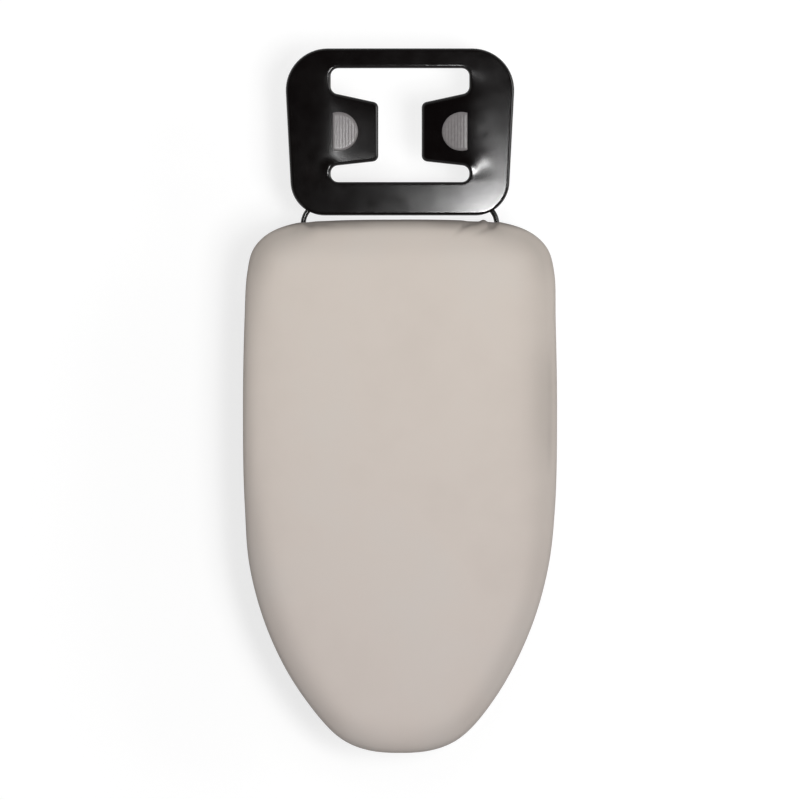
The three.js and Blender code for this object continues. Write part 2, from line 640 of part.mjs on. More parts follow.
function restPlate() {
  const below = 6 * REST_RIM;
  const wide = restHalfFar + PAST;
  const underRim = solid(block([-wide, -PAST, -below], [wide, REST_LENGTH + PAST, -REST_RIM]));
  const lipTrim = solid(prism(plateOpening(2 * REST_SHEET), below - REST_LIP).translate(0, 0, -below));
  const hollow = rolledPlate(REST_SHEET, REST_ROLL - REST_SHEET, -REST_SHEET);
  let flat = rolledPlate(0, REST_ROLL, 0).subtract(hollow).subtract(underRim).subtract(lipTrim);
  // The rim is notched where the two rods come in under it.
  const notch = 0.55 * ROD_SHIFT;
  [-1, 1].forEach((side) => {
    const x = side * (rodHalf + hoopHalf) / 2;
    const low = [x - notch, -PAST, -below];
    flat = flat.subtract(solid(block(low, [x + notch, REST_CORNER_NEAR, -REST_SHEET - GAP])));
  });
  // The tabs are cut out, sloped down to the middle, and joined on again.
  const root = crease + OVERLAP;
  const low = (NEAR_SLOT[0] + NEAR_SLOT[1]) / 2;
  const high = (FAR_SLOT[0] + FAR_SLOT[1]) / 2;
  let body = flat;
  [-1, 1].forEach((side) => {
    const area = (reach) => {
      const across = [0, side * reach].sort((a, b) => a - b);
      return solid(block([across[0], low, -below], [across[1], high, PAST]));
    };
    const tab = surface(flat.intersect(area(root)));
    const at = tab.attributes.position;
    for (let i = 0; i < at.count; i += 1) {
      at.setZ(i, at.getZ(i) - (root - Math.abs(at.getX(i))) * Math.tan(TAB_SLOPE_ANGLE));
    }
    body = body.subtract(area(crease)).add(solid(tab));
  });
  return surface(body.simplify(SLIVER)).translate(0, PLATE_Y, PLATE_Z);
}
board.add(blackSteel('rest_plate', restPlate()));

// D-shaped pads on the tabs, straight along the crease.
function restPad(side) {
  const lean = Math.acos(REST_PAD_IN / REST_PAD_RADIUS);
  const shape = new THREE.Shape();
  shape.absarc(-REST_PAD_IN, 0, REST_PAD_RADIUS, lean, 2 * Math.PI - lean, false);
  const edge = 0.8;
  const outline = new THREE.Shape(shape.extractPoints(14).shape);
  const depth = REST_PAD_THICKNESS - 2 * edge;
  const pad = new THREE.ExtrudeGeometry(outline, {
    depth, bevelThickness: edge, bevelSize: edge, bevelOffset: -edge, bevelSegments: 1,
  });
  pad.translate(0, 0, edge + GAP).rotateY(-TAB_SLOPE_ANGLE).translate(crease, 0, 0);
  if (side < 0) {
    pad.rotateZ(Math.PI);
  }
  const middle = (NEAR_SLOT[1] + TAB_RISE + FAR_SLOT[0] - TAB_DROP) / 2;
  return mergeVertices(pad.translate(0, PLATE_Y + middle, PLATE_Z), 1e-4);
}
[['left', -1], ['right', 1]].forEach(([hand, side]) => {
  board.add(piece(`rest_pad_${hand}`, restPad(side), 0x97908f, 0.9, 0));
});

// A strap bent round the rod below a flat face, with a foot on one side or both.
function strap(footLeft, footRight) {
  const axis = -ROD_DIAMETER / 2;
  const shape = new THREE.Shape();
  shape.moveTo(-footLeft, 0);
  shape.lineTo(-footLeft, -STRAP_SHEET);
  shape.lineTo(-strapOuter, -STRAP_SHEET);
  shape.absarc(0, axis, strapOuter, Math.PI, 2 * Math.PI, false);
  if (footRight > strapOuter) {
    shape.lineTo(strapOuter, -STRAP_SHEET);
    shape.lineTo(footRight, -STRAP_SHEET);
  }
  shape.lineTo(Math.max(footRight, strapOuter), 0);
  shape.lineTo(strapInner, 0);
  shape.absarc(0, axis, strapInner, 0, -Math.PI, true);
  shape.lineTo(-strapInner, 0);
  const points = shape.extractPoints(8).shape;
  return prism(points, STRAP_LENGTH).translate(0, 0, -STRAP_LENGTH / 2).rotateX(Math.PI / 2);
}

const strapTop = ROD_Z + ROD_DIAMETER / 2;
[['left', -1], ['right', 1]].forEach(([hand, side]) => {
  const sideSaddle = blackSteel(`rest_saddle_side_${hand}`, strap(SADDLE_HALF, SADDLE_HALF));
  sideSaddle.position.set(side * hoopHalf, PLATE_Y + REST_LENGTH / 2, strapTop);
  board.add(sideSaddle);
  const farSaddle = blackSteel(`rest_saddle_far_${hand}`, strap(SADDLE_HALF, SADDLE_HALF));
  farSaddle.geometry.rotateZ(Math.PI / 2);
  farSaddle.position.set((side * hoopHalf) / 2, hoopFarY, strapTop);
  board.add(farSaddle);
  [['heel', HEEL_RAIL_AT], ['rear', REAR_RAIL_AT]].forEach(([place, at]) => {
    const clip = blackSteel(`rod_clip_${place}_${hand}`, strap(CLIP_FOOT, 0));
    if (side < 0) {
      clip.geometry.rotateZ(Math.PI);
    }
    clip.position.set(side * rodHalf, HEEL_Y - at, strapTop);
    board.add(clip);
  });
});

export default board;
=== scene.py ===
# %% [markdown]
# # Dressing a tabletop ironing board
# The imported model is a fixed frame: every piece below is built in the same place, in millimetres, and then
# rides on one of its three bodies, the deck, the front leg and the rear leg. The cloth, the pressed plate and
# the bent rods are made again with finer forms, and each finish is built from nodes.

# %% Load the frame
import math
import bmesh
import bpy
import numpy as np
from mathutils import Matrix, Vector, noise
from mathutils.geometry import delaunay_2d_cdt


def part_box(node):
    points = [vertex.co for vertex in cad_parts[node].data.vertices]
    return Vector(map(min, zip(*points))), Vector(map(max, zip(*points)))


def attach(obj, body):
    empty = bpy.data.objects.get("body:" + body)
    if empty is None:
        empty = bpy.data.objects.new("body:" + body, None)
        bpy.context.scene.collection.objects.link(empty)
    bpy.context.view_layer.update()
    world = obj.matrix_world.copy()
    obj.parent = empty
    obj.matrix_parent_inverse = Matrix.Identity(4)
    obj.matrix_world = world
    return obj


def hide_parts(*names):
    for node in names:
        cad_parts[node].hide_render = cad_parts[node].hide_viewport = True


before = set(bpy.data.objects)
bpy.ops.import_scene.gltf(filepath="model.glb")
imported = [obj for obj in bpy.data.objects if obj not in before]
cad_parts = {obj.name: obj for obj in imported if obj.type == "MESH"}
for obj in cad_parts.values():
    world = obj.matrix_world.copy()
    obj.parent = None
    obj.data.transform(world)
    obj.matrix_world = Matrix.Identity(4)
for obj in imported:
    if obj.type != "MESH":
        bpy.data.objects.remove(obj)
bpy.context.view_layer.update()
MM = 0.001

# %% [markdown]
# ## Camera
# The photograph looks straight down with the iron rest at the top. A long lens keeps the rest, which lies
# lower than the cover, from shrinking. At the height of the board's edge one pixel of an 800 pixel image is
# 1.051 mm.

# %% Camera above the board
EDGE_HEIGHT, PIXEL, IMAGE_WIDTH = 170, 1.051, 800
LENS, SENSOR = 200, 36
camera = bpy.data.objects.new("camera_above", bpy.data.cameras.new("camera_above"))
camera.data.lens = LENS
camera.data.sensor_width = SENSOR
height = (EDGE_HEIGHT + IMAGE_WIDTH * PIXEL * LENS / SENSOR) * MM
camera.location = (0, 0, height)
camera.data.clip_end = 60
bpy.context.collection.objects.link(camera)
bpy.context.scene.camera = camera
print("camera height", round(height, 3), "m")

# %% [markdown]
# ## Light and floor
# The enamel is a dark mirror, so what it shows is the room. The sky is dark straight above and pale near the
# horizon. A large soft lamp at the right shapes the cloth. A small bright one, like a window high up and a
# little to the right, is what the domed plate mirrors; beside it hangs a dim one, like the wall next to that
# window. Two more, high up in front and behind, fill the cloth evenly and are kept out of the reflections.

# %% Sky that darkens towards the zenith
scene = bpy.context.scene
scene.view_settings.view_transform = "Standard"
world = bpy.data.worlds.new("studio_sky")
scene.world = world
world.use_nodes = True
sky = world.node_tree
where = sky.nodes.new("ShaderNodeTexCoord")
axes = sky.nodes.new("ShaderNodeSeparateXYZ")
shade = sky.nodes.new("ShaderNodeValToRGB")
stops = shade.color_ramp.elements
for position, grey in ((0.0, 0.95), (0.1, 0.66), (0.35, 0.52), (0.7, 0.34), (0.94, 0.02)):
    stop = stops[0] if position == 0 else stops.new(position)
    stop.color = (grey, grey, grey, 1)
stops.remove(stops[-1])
sky.links.new(where.outputs["Generated"], axes.inputs["Vector"])
sky.links.new(axes.outputs["Z"], shade.inputs["Fac"])
sky.links.new(shade.outputs["Color"], sky.nodes["Background"].inputs["Color"])
print("sky stops", [round(stop.position, 2) for stop in stops])

# %% Five soft lamps
def soft_lamp(name, place, size, power, in_reflections):
    lamp = bpy.data.objects.new(name, bpy.data.lights.new(name, "AREA"))
    lamp.data.shape = "DISK"
    lamp.data.size = size
    lamp.data.energy = power
    lamp.location = place
    lamp.rotation_euler = (-Vector(place)).to_track_quat("-Z", "Y").to_euler()
    lamp.visible_glossy = in_reflections
    bpy.context.collection.objects.link(lamp)
    print(name, "at", place, "with", power, "W")


soft_lamp("lamp_right", (2.3, 0.6, 1.9), 1.6, 18, True)
soft_lamp("lamp_window", (0.403, 0.038, 3.5), 0.4, 22.5, True)
soft_lamp("lamp_wall", (0.381, 0.341, 3.5), 0.3, 0.54, True)
soft_lamp("lamp_front", (0.68, -0.26, 3.5), 0.66, 29.5, False)
soft_lamp("lamp_behind", (-0.1, 0.95, 3.2), 1.2, 13, False)

# %% [markdown]
# The floor is a plain pale sheet. Seen by the camera, or mirrored in metal, it is lifted to white by a little
# light of its own, which doesn't fall on the board, so the soft shadow under the board stays.

# %% Pale floor
FLOOR_GREY, FLOOR_LIFT = 0.4, 0.68
bpy.ops.mesh.primitive_grid_add(x_subdivisions=4, y_subdivisions=4, size=40)
floor = bpy.context.active_object
floor.name = "pale_floor"
floor_paint = bpy.data.materials.new("pale_floor")
floor_paint.use_nodes = True
tree = floor_paint.node_tree
tree.nodes.remove(tree.nodes["Principled BSDF"])
kinds = ("BsdfDiffuse", "Emission", "LightPath", "AddShader", "Math")
matt, lift, rays, both, share = (tree.nodes.new("ShaderNode" + kind) for kind in kinds)
matt.inputs["Color"].default_value = (FLOOR_GREY, FLOOR_GREY, FLOOR_GREY, 1)
seen = rays.outputs["Is Camera Ray"]
for kind in ("Is Glossy Ray", "Is Transmission Ray"):
    either = tree.nodes.new("ShaderNodeMath")
    either.operation = "MAXIMUM"
    tree.links.new(seen, either.inputs[0])
    tree.links.new(rays.outputs[kind], either.inputs[1])
    seen = either.outputs[0]
share.operation = "MULTIPLY"
share.inputs[1].default_value = FLOOR_LIFT
tree.links.new(seen, share.inputs[0])
tree.links.new(share.outputs[0], lift.inputs["Strength"])
tree.links.new(matt.outputs[0], both.inputs[0])
tree.links.new(lift.outputs[0], both.inputs[1])
tree.links.new(both.outputs[0], tree.nodes["Material Output"].inputs["Surface"])
floor.data.materials.append(floor_paint)
print("floor", floor.dimensions[:2])

# %% [markdown]
# ## Finishes
# Every finish starts from the Principled shader. Grain comes from noise in the object's own coordinates,
# which are metres here, so a scale of 1000 makes grains of about a millimetre. The same noise drives colour,
# roughness and a fine bump, which keeps a surface from looking like plain plastic. Colours are written as
# levels from 0 to 255.

# %% Finish helpers
FINISH = {}


def linear(level):
    return level / 255 / 12.92 if level < 10 else ((level / 255 + 0.055) / 1.055) ** 2.4


class Finish:
    """A Principled material, kept under its slot, with a short way to add grain, colour and bump nodes."""

    def __init__(self, slot, name, metallic=0.0, roughness=0.5, ior=1.5):
        FINISH[slot] = bpy.data.materials.new(name)
        FINISH[slot].use_nodes = True
        self.tree = FINISH[slot].node_tree
        self.shader = self.tree.nodes["Principled BSDF"]
        for socket, value in (("Metallic", metallic), ("Roughness", roughness), ("IOR", ior)):
            self.shader.inputs[socket].default_value = value
        self.place = self.tree.nodes.new("ShaderNodeTexCoord").outputs["Object"]

    def node(self, kind, **values):
        made = self.tree.nodes.new("ShaderNode" + kind)
        for key, value in values.items():
            socket = made.inputs.get(key)
            if socket is None:
                setattr(made, key, value)
            else:
                socket.default_value = value
        return made

    def link(self, start, end):
        self.tree.links.new(start, end)

    def grain(self, scale, detail=3.0, roughness=0.55, stretch=None):
        cloud = self.node("TexNoise", Scale=scale, Detail=detail, Roughness=roughness)
        start = self.place
        if stretch:
            mapping = self.node("Mapping", Scale=stretch)
            self.link(self.place, mapping.inputs["Vector"])
            start = mapping.outputs["Vector"]
        self.link(start, cloud.inputs["Vector"])
        return cloud.outputs["Fac"]

    def threads(self, pitch, direction):
        wave = self.node("TexWave", Scale=0.3142 / pitch, Distortion=1.2, bands_direction=direction)
        wave.inputs["Detail Scale"].default_value = 0.4
        self.link(self.place, wave.inputs["Vector"])
        return wave.outputs["Fac"]

    def product(self, first, second):
        both = self.node("Math", operation="MULTIPLY")
        self.link(first, both.inputs[0])
        self.link(second, both.inputs[1])
        return both.outputs[0]

    def colour(self, fac, *stops):
        ramp = self.node("ValToRGB")
        points = ramp.color_ramp.elements
        while len(points) < len(stops):
            points.new(0.5)
        for point, (position, *levels) in zip(points, stops):
            point.position = position
            point.color = (*map(linear, levels), 1)
        self.link(fac, ramp.inputs["Fac"])
        self.link(ramp.outputs["Color"], self.shader.inputs["Base Color"])

    def gloss(self, fac, low, high):
        spread = self.node("MapRange")
        spread.inputs["To Min"].default_value = low
        spread.inputs["To Max"].default_value = high
        self.link(fac, spread.inputs["Value"])
        self.link(spread.outputs["Result"], self.shader.inputs["Roughness"])

    def relief(self, fac, depth):
        bump = self.node("Bump", Strength=1.0, Distance=depth * MM)
        previous = self.shader.inputs["Normal"].links
        if previous:
            self.link(previous[0].from_socket, bump.inputs["Normal"])
        self.link(fac, bump.inputs["Height"])
        self.link(bump.outputs["Normal"], self.shader.inputs["Normal"])


print("finish helpers ready")

# %% [markdown]
# The cover is a matt coated cotton in a warm grey. Its weave is finer than a millimetre, so it only shows
# close up, as two crossed sets of threads in the bump. Broad soft noise stands for the uneven coating. A
# vertex colour, painted when the cover is made, carries painted shade: it darkens the cloth where it turns
# over the edge, at the heel, in the folds and in a band inside the edge, and makes it slowly darker towards the
# nose.

# %% Coated cotton
cotton = Finish("cover_cloth", "cover_cotton", roughness=0.82)
cotton.colour(cotton.grain(9, 4), (0.25, 204, 194, 185), (0.5, 208, 198, 189), (0.75, 207, 199, 191))
# The vertex colour below multiplies painted shade into the cloth's colour.
shade_layer = cotton.node("VertexColor", layer_name="painted_shade")
shade_multiply = cotton.node("Mix", data_type="RGBA", blend_type="MULTIPLY")
shade_multiply.inputs["Factor"].default_value = 1.0
cotton.link(cotton.shader.inputs["Base Color"].links[0].from_socket, shade_multiply.inputs["A"])
cotton.link(shade_layer.outputs["Color"], shade_multiply.inputs["B"])
cotton.link(shade_multiply.outputs["Result"], cotton.shader.inputs["Base Color"])
cotton.gloss(cotton.grain(160, 2), 0.74, 0.88)
weave = cotton.product(cotton.threads(0.00055, "X"), cotton.threads(0.00055, "Y"))
cotton.relief(weave, 0.035)
cotton.relief(cotton.grain(420, 2), 0.05)
print("cotton nodes", len(cotton.tree.nodes))

# %% [markdown]
# Felt shows through the mesh from below. It is a mat of fibres: noise stretched along two directions, in pale
# undyed wool colours with a few darker strands. The elastic in the hem is a ribbed woven tape.

# %% Felt, elastic and sewing thread
felt = Finish("felt", "pressed_felt", roughness=0.95)
strands = felt.product(felt.grain(900, 5, 0.7, (1, 0.18, 1)), felt.grain(900, 5, 0.7, (0.18, 1, 1)))
felt.colour(strands, (0.12, 168, 160, 148), (0.26, 205, 199, 188), (0.45, 222, 217, 207))
felt.relief(strands, 0.5)
elastic = Finish("elastic", "hem_elastic", roughness=0.85)
ribbing = elastic.threads(0.0012, "Z")
elastic.colour(elastic.product(ribbing, elastic.grain(700)), (0.1, 190, 186, 176), (0.5, 226, 223, 214))
elastic.relief(ribbing, 0.15)
thread = Finish("thread", "sewing_thread", roughness=0.7)
twist = thread.threads(0.0006, "DIAGONAL")
thread.colour(twist, (0.0, 176, 168, 161), (1.0, 224, 217, 210))
thread.relief(twist, 0.06)
print("cloth finishes", sorted(FINISH))

# %% [markdown]
# The iron rest is stove enamelled: a glassy black with a very slight orange-peel ripple and a few dull, dusty
# patches. The frame below has a cheaper powder coat, satin and pebbled, worn to a dull grey on a few high
# spots.

# %% Black enamel and powder coat
enamel = Finish("black_enamel", "black_enamel", roughness=0.2, ior=1.52)
enamel.colour(enamel.grain(26, 5, 0.65), (0.35, 6, 3, 3), (0.6, 8, 5, 5), (0.8, 16, 12, 12))
enamel.gloss(enamel.grain(70, 4), 0.1, 0.186)
enamel.relief(enamel.grain(190, 2), 0.007)
powder = Finish("black_paint", "black_powder_coat", roughness=0.45)
scuff = powder.grain(85, 6, 0.7)
powder.colour(scuff, (0.3, 16, 15, 15), (0.66, 27, 25, 25), (0.78, 62, 59, 58))
powder.gloss(scuff, 0.34, 0.62)
powder.relief(powder.grain(1300, 2), 0.05)
print("black finishes ready")

# %% [markdown]
# Galvanised sheet shows spangle: flat crystals, each a slightly different grey. Voronoi cells give the
# crystals. Pins and rivets are zinc plated, brighter and smoother, with fine scratches along them.

# %% Galvanised and zinc-plated steel
spangle = Finish("galvanised_mesh", "galvanised_sheet", metallic=0.85, roughness=0.45)
crystals = spangle.node("TexVoronoi", Scale=170)
spangle.link(spangle.place, crystals.inputs["Vector"])
spangle.colour(crystals.outputs["Color"], (0.0, 150, 153, 156), (0.5, 176, 179, 181), (1.0, 196, 198, 199))
spangle.gloss(crystals.outputs["Color"], 0.36, 0.56)
spangle.relief(spangle.grain(700, 3), 0.03)
zinc = Finish("zinc_steel", "zinc_plating", metallic=1.0, roughness=0.32)
scratches = zinc.grain(420, 4, 0.6, (0.15, 1, 1))
zinc.colour(scratches, (0.3, 172, 170, 164), (0.7, 206, 204, 198))
zinc.gloss(scratches, 0.24, 0.46)
zinc.relief(scratches, 0.02)
print("bright metals ready")

# %% [markdown]
# Three moulded finishes are left: milky nylon for the washers, dull black rubber for the feet and grey
# silicone for the heat pads, which has a soft sheen. Their colour varies only a little.

# %% Nylon, rubber and silicone
nylon = Finish("nylon", "milky_nylon", roughness=0.5)
cloudy = nylon.grain(300, 3)
nylon.colour(cloudy, (0.3, 222, 217, 205), (0.7, 238, 235, 226))
nylon.relief(cloudy, 0.03)
rubber = Finish("foot_rubber", "foot_rubber", roughness=0.8)
bloom = rubber.grain(120, 5, 0.6)
rubber.colour(bloom, (0.35, 26, 26, 27), (0.62, 38, 38, 39), (0.8, 58, 57, 56))
rubber.gloss(bloom, 0.7, 0.9)
rubber.relief(rubber.grain(1600, 2), 0.05)
silicone = Finish("rest_silicone", "grey_silicone", roughness=0.6, ior=1.7)
mottle = silicone.grain(240, 4)
silicone.colour(mottle, (0.3, 113, 109, 109), (0.7, 122, 118, 118))
silicone.gloss(mottle, 0.2, 0.28)
silicone.relief(silicone.grain(1500, 2), 0.03)
print("finishes", sorted(FINISH))

# %% [markdown]
# ## Makers shared by several pieces
# A piece is a list of points and faces. `settle` turns them into a mesh, and `dressed` gives it a finish,
# lets it ride on its body and hides the plain node it stands for. `sweep` carries a section along a path, for
# tubes and bent rods, and `turned` spins a profile, as a lathe does.

# %% From points to a piece that rides
WELD_GAP = 1e-6


def dressed(mesh, slot, body, stands_for, finish=None):
    mesh.shade_smooth()
    mesh.materials.append(FINISH[finish or slot])
    piece = bpy.data.objects.new(mesh.name, mesh)
    bpy.context.collection.objects.link(piece)
    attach(piece, body)
    if stands_for:
        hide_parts(*stands_for)
    return piece


def settle(name, points, faces, slot, body="deck", stands_for=(), finish=None):
    mesh = bpy.data.meshes.new(name)
    mesh.from_pydata([Vector(p) * MM for p in points], [], faces)
    work = bmesh.new()
    work.from_mesh(mesh)
    bmesh.ops.remove_doubles(work, verts=work.verts, dist=WELD_GAP)
    bmesh.ops.recalc_face_normals(work, faces=work.faces)
    work.to_mesh(mesh)
    work.free()
    return dressed(mesh, slot, body, stands_for, finish)


def ring_faces(rings, count, closed=False):
    faces = []
    for r in range(rings if closed else rings - 1):
        low, high = r * count, (r + 1) % rings * count
        for i in range(count):
            j = (i + 1) % count
            faces.append((low + i, low + j, high + j, high + i))
    return faces


def tube_faces(rings, count, closed=False):
    ends = [tuple(range(count))[::-1], tuple(range((rings - 1) * count, rings * count))]
    return ring_faces(rings, count, closed) + ([] if closed else ends)


def sweep(path, across, sections, closed=False):
    path = np.asarray(path, float)
    if closed:
        along = np.roll(path, -1, 0) - np.roll(path, 1, 0)
    else:
        along = np.vstack([path[1:], path[-1:]]) - np.vstack([path[:1], path[:-1]])
    side = np.cross(along, across)
    side /= np.linalg.norm(side, axis=1)[:, None]
    sections = np.broadcast_to(sections, (len(path), *np.shape(sections)[-2:]))
    points = path[:, None] + side[:, None] * sections[..., :1]
    points = points + np.asarray(across, float) * sections[..., 1:]
    return points.reshape(-1, 3), tube_faces(len(path), points.shape[1], closed)


def turned(profile, sides, closed=False):
    turns = np.arange(sides) * 2 * math.pi / sides
    points = [(r * math.cos(a), r * math.sin(a), z) for r, z in profile for a in turns]
    return np.array(points), tube_faces(len(profile), sides, closed)


def ring(radius, sides):
    turns = (np.arange(sides) + 0.5) * 2 * math.pi / sides
    return np.stack([radius * np.cos(turns), radius * np.sin(turns)], 1)


print("makers ready")

# %% [markdown]
# Curves come in two kinds. The board's outline is a free curve through measured points, a Catmull-Rom spline.
# Bent rods and pressed sheet are straight runs with round corners, so `round_corners` puts an arc at each
# corner. `ramp` is a straight step from 0 to 1, `smooth` a soft one, and `bell` is a soft bump.

# %% Free curves and rounded corners
def free_curve(points, per_span, closed=False):
    points = np.asarray(points, float)
    before, after = 2 * points[:1] - points[1:2], 2 * points[-1:] - points[-2:-1]
    if closed:
        before, after = points[-1:], points[:2]
    run = np.vstack([before, points, after])
    made = []
    for p0, p1, p2, p3 in zip(run, run[1:], run[2:], run[3:]):
        spans = ((p0, p1), (p1, p2), (p2, p3))
        d0, d1, d2 = (max(math.sqrt(np.linalg.norm(b - a)), 1e-6) for a, b in spans)
        t1 = ((p1 - p0) / d0 - (p2 - p0) / (d0 + d1) + (p2 - p1) / d1) * d1
        t2 = ((p2 - p1) / d1 - (p3 - p1) / (d1 + d2) + (p3 - p2) / d2) * d1
        square, cube = 3 * (p2 - p1) - 2 * t1 - t2, 2 * (p1 - p2) + t1 + t2
        for w in np.arange(per_span) / per_span:
            made.append(p1 + t1 * w + square * w**2 + cube * w**3)
    if not closed:
        made.append(points[-1])
    return np.array(made)


def round_corners(corners, steps, closed=True):
    made = []
    for i, (x, y, radius) in enumerate(corners):
        here = np.array([x, y])
        if not closed and i in (0, len(corners) - 1):
            made.append(here)
            continue
        back = np.array(corners[i - 1][:2]) - here
        ahead = np.array(corners[(i + 1) % len(corners)][:2]) - here
        back, ahead = back / np.linalg.norm(back), ahead / np.linalg.norm(ahead)
        half = math.acos(np.clip(back @ ahead, -1, 1)) / 2
        centre = here + (back + ahead) / np.linalg.norm(back + ahead) * radius / math.sin(half)
        start, end = (here + way * radius / math.tan(half) - centre for way in (back, ahead))
        turn = math.atan2(start[0] * end[1] - start[1] * end[0], start @ end)
        for angle in np.linspace(0, turn, steps + 1):
            c, s = math.cos(angle), math.sin(angle)
            made.append(centre + (c * start[0] - s * start[1], s * start[0] + c * start[1]))
    return np.array(made)


def even(points, count, closed=True):
    run = np.vstack([points, points[:1]]) if closed else np.asarray(points)
    length = np.concatenate([[0], np.cumsum(np.linalg.norm(np.diff(run, axis=0), axis=1))])
    at = np.linspace(0, length[-1], count, endpoint=not closed)
    return np.stack([np.interp(at, length, run[:, k]) for k in range(run.shape[1])], 1)


def ramp(value, low, high):
    return np.clip((value - low) / (high - low), 0, 1)


def smooth(value, low, high):
    t = ramp(value, low, high)
    return t * t * (3 - 2 * t)


def bell(value, middle, width, power=2):
    return np.exp(-(((value - middle) / width) ** power))


print("curves ready")

# %% [markdown]
# ## The board's outline
# The outline is symmetric: half of it is given as parts of the half width and of the length from the heel. It
# is sampled in steps, with an inward direction at each station, because every layer of the board follows it.
# For the cloth the steps are shorter at the heel, where its folds are small.

# %% Outline of the covered board
BOARD_LENGTH, BOARD_WIDTH, HEEL_Y = 560, 330, 189.5
OUTLINE = [
    (0, 0), (0.42, 0.0018), (0.68, 0.0078), (0.845, 0.0275), (0.935, 0.056), (0.973, 0.1), (0.99, 0.187),
    (1, 0.36), (0.988, 0.535), (0.942, 0.655), (0.825, 0.773), (0.615, 0.893), (0.395, 0.968), (0.2, 0.9915),
    (0, 1),
]
right_half = [(across * BOARD_WIDTH / 2, HEEL_Y - along * BOARD_LENGTH) for across, along in OUTLINE]
left_half = [(-x, y) for x, y in right_half[1:-1][::-1]]
board_curve = free_curve(right_half + left_half, 40, closed=True)


def board_edge(count, denser=0.0):
    steps = np.linalg.norm(np.roll(board_curve, -1, 0) - board_curve, axis=1)
    share = np.concatenate([[0], np.cumsum(steps * (1 + denser * ramp(board_curve[:, 1], 160, 180)))])
    at = np.linspace(0, share[-1], count, endpoint=False)
    closed = np.vstack([board_curve, board_curve[:1]])
    edge = np.column_stack([np.interp(at, share, closed[:, 0]), np.interp(at, share, closed[:, 1])])
    along = np.roll(edge, -1, 0) - np.roll(edge, 1, 0)
    along /= np.linalg.norm(along, axis=1)[:, None]
    return edge, np.stack([along[:, 1], -along[:, 0]], 1)


edge_points, edge_inward = board_edge(640, denser=1.4)
edge_x, edge_y = edge_points.T
edge_steps = np.linalg.norm(np.roll(edge_points, -1, 0) - edge_points, axis=1)
print("outline", round(edge_steps.sum()), "mm round, widest", round(np.ptp(edge_x), 1), "mm")

# %% [markdown]
# ## Sheet cut by triangulation
# Several pieces are cut from a flat sheet: the top of the cover, the expanded mesh and the rest plate.
# Blender's constrained Delaunay triangulation takes loops of points and fills them; the triangles that fill a
# hole are then taken out again. A staggered grid of points inside keeps the triangles even.

# %% Sheet between loops
def within(loop, points):
    a, b = loop, np.roll(loop, -1, 0)
    px, py = points[:, 0, None], points[:, 1, None]
    crosses = (a[:, 1] > py) != (b[:, 1] > py)
    with np.errstate(divide="ignore", invalid="ignore"):
        at = (b[:, 0] - a[:, 0]) * (py - a[:, 1]) / (b[:, 1] - a[:, 1]) + a[:, 0]
    return (np.sum(crosses & (px < at), axis=1) % 2) == 1


def staggered(columns, rows, pitch):
    x, y = np.meshgrid(columns, rows)
    x = x + pitch / 2 * (np.arange(len(rows)) % 2)[:, None]
    return np.column_stack([x.ravel(), y.ravel()])


def cut_sheet(loops, inside=()):
    flat, edges, owner = [], [], []
    for number, loop in enumerate(loops):
        first = len(flat)
        flat += [Vector(p) for p in loop]
        owner += [number] * len(loop)
        edges += [(first + i, first + (i + 1) % len(loop)) for i in range(len(loop))]
    flat += [Vector(p) for p in inside]
    owner += [0] * len(inside)
    made = delaunay_2d_cdt(flat, edges, [], 1, 1e-5)
    points, faces = np.array([tuple(p) for p in made[0]]), np.array(made[2])
    corners = np.array([owner[source[0]] for source in made[3]])[faces]
    solid = np.ones(len(faces), bool)
    for number in range(1, len(loops)):
        fills = np.flatnonzero(np.all(corners == number, axis=1))
        solid[fills] = ~within(loops[number], points[faces[fills]].mean(axis=1))
    return points, faces[solid].tolist()


print("sheet cutter ready")

# %% [markdown]
# ## Cover
# The cover is one sheet of cloth: flat on top, soft over the shoulder of the felt, down the side and under,
# where an elastic in its hem gathers it. A simulation would do, but the cloth is stretched, so a loft that
# follows the outline is surer. Folds are then pressed into it: gathers that grow towards the hem, bunched
# cloth where the rods of the iron rest push it in, and a shallow crease along the right edge. Beside the
# nose, along the left side and at the right corner the cloth is a little slack and stands out from the
# outline.

# %% Section of the cover, from the top round to the hem
CLOTH, SHOULDER = 0.8, 30
cover_section = free_curve([
    (SHOULDER, 187.4), (22, 186.9), (15, 186.1), (9, 184.6), (4.6, 182.3), (1.9, 179.5), (0.5, 176.2),
    (0, 172.6), (0.2, 169.3), (1.1, 166.7), (2.8, 164.8), (5.6, 163.6), (10, 163.2), (17, 163.15), (24, 163.2),
    (28.4, 163.2), (29.8, 162.3), (29.6, 161.1), (28, 160.5), (24, 160.4), (20.2, 160.4),
], 3)
print("cover section", len(cover_section), "rings")

# %% How soft, how gathered and how slack, station by station
SLACK = 2.2
stations = len(edge_points)
around = 2 * math.pi * np.cumsum(edge_steps) / edge_steps.sum()


def ridges(turns, seed):
    waves = [noise.noise(Vector((turns * math.cos(a), turns * math.sin(a), seed))) for a in around]
    return np.clip(1 - 3.2 * np.abs(waves), 0, 1)


turning = np.linalg.norm(np.roll(edge_inward, -3, 0) - np.roll(edge_inward, 3, 0), axis=1) / edge_steps
turning = np.convolve(np.concatenate([turning[-8:], turning, turning[:8]]), np.ones(17) / 17, "valid")
tightness = np.clip(turning / turning.max() * 1.6, 0, 1)
gathers = (0.3 + 0.7 * tightness) * (ridges(15, 3.1) + 0.6 * ridges(31, 8.4) - 0.35)
heel_side = ramp(edge_y, 172, 184)
softness = 1 + 0.35 * tightness - 0.28 * heel_side * (1 - smooth(np.abs(edge_x), 92, 126))
rod_near = bell(np.abs(edge_x), 102, 13) * heel_side
beside_nose = bell(np.abs(edge_x), 38, 24) * (edge_y < -300)
left_side = bell(edge_y, -222, 85, 4) * (edge_x < 0)
right_corner = 0.7 * bell(edge_y, 135, 35) * (edge_x > 0)
slack = SLACK * np.maximum.reduce([beside_nose, left_side, right_corner])
print("gathers from", round(gathers.min(), 2), "to", round(gathers.max(), 2))

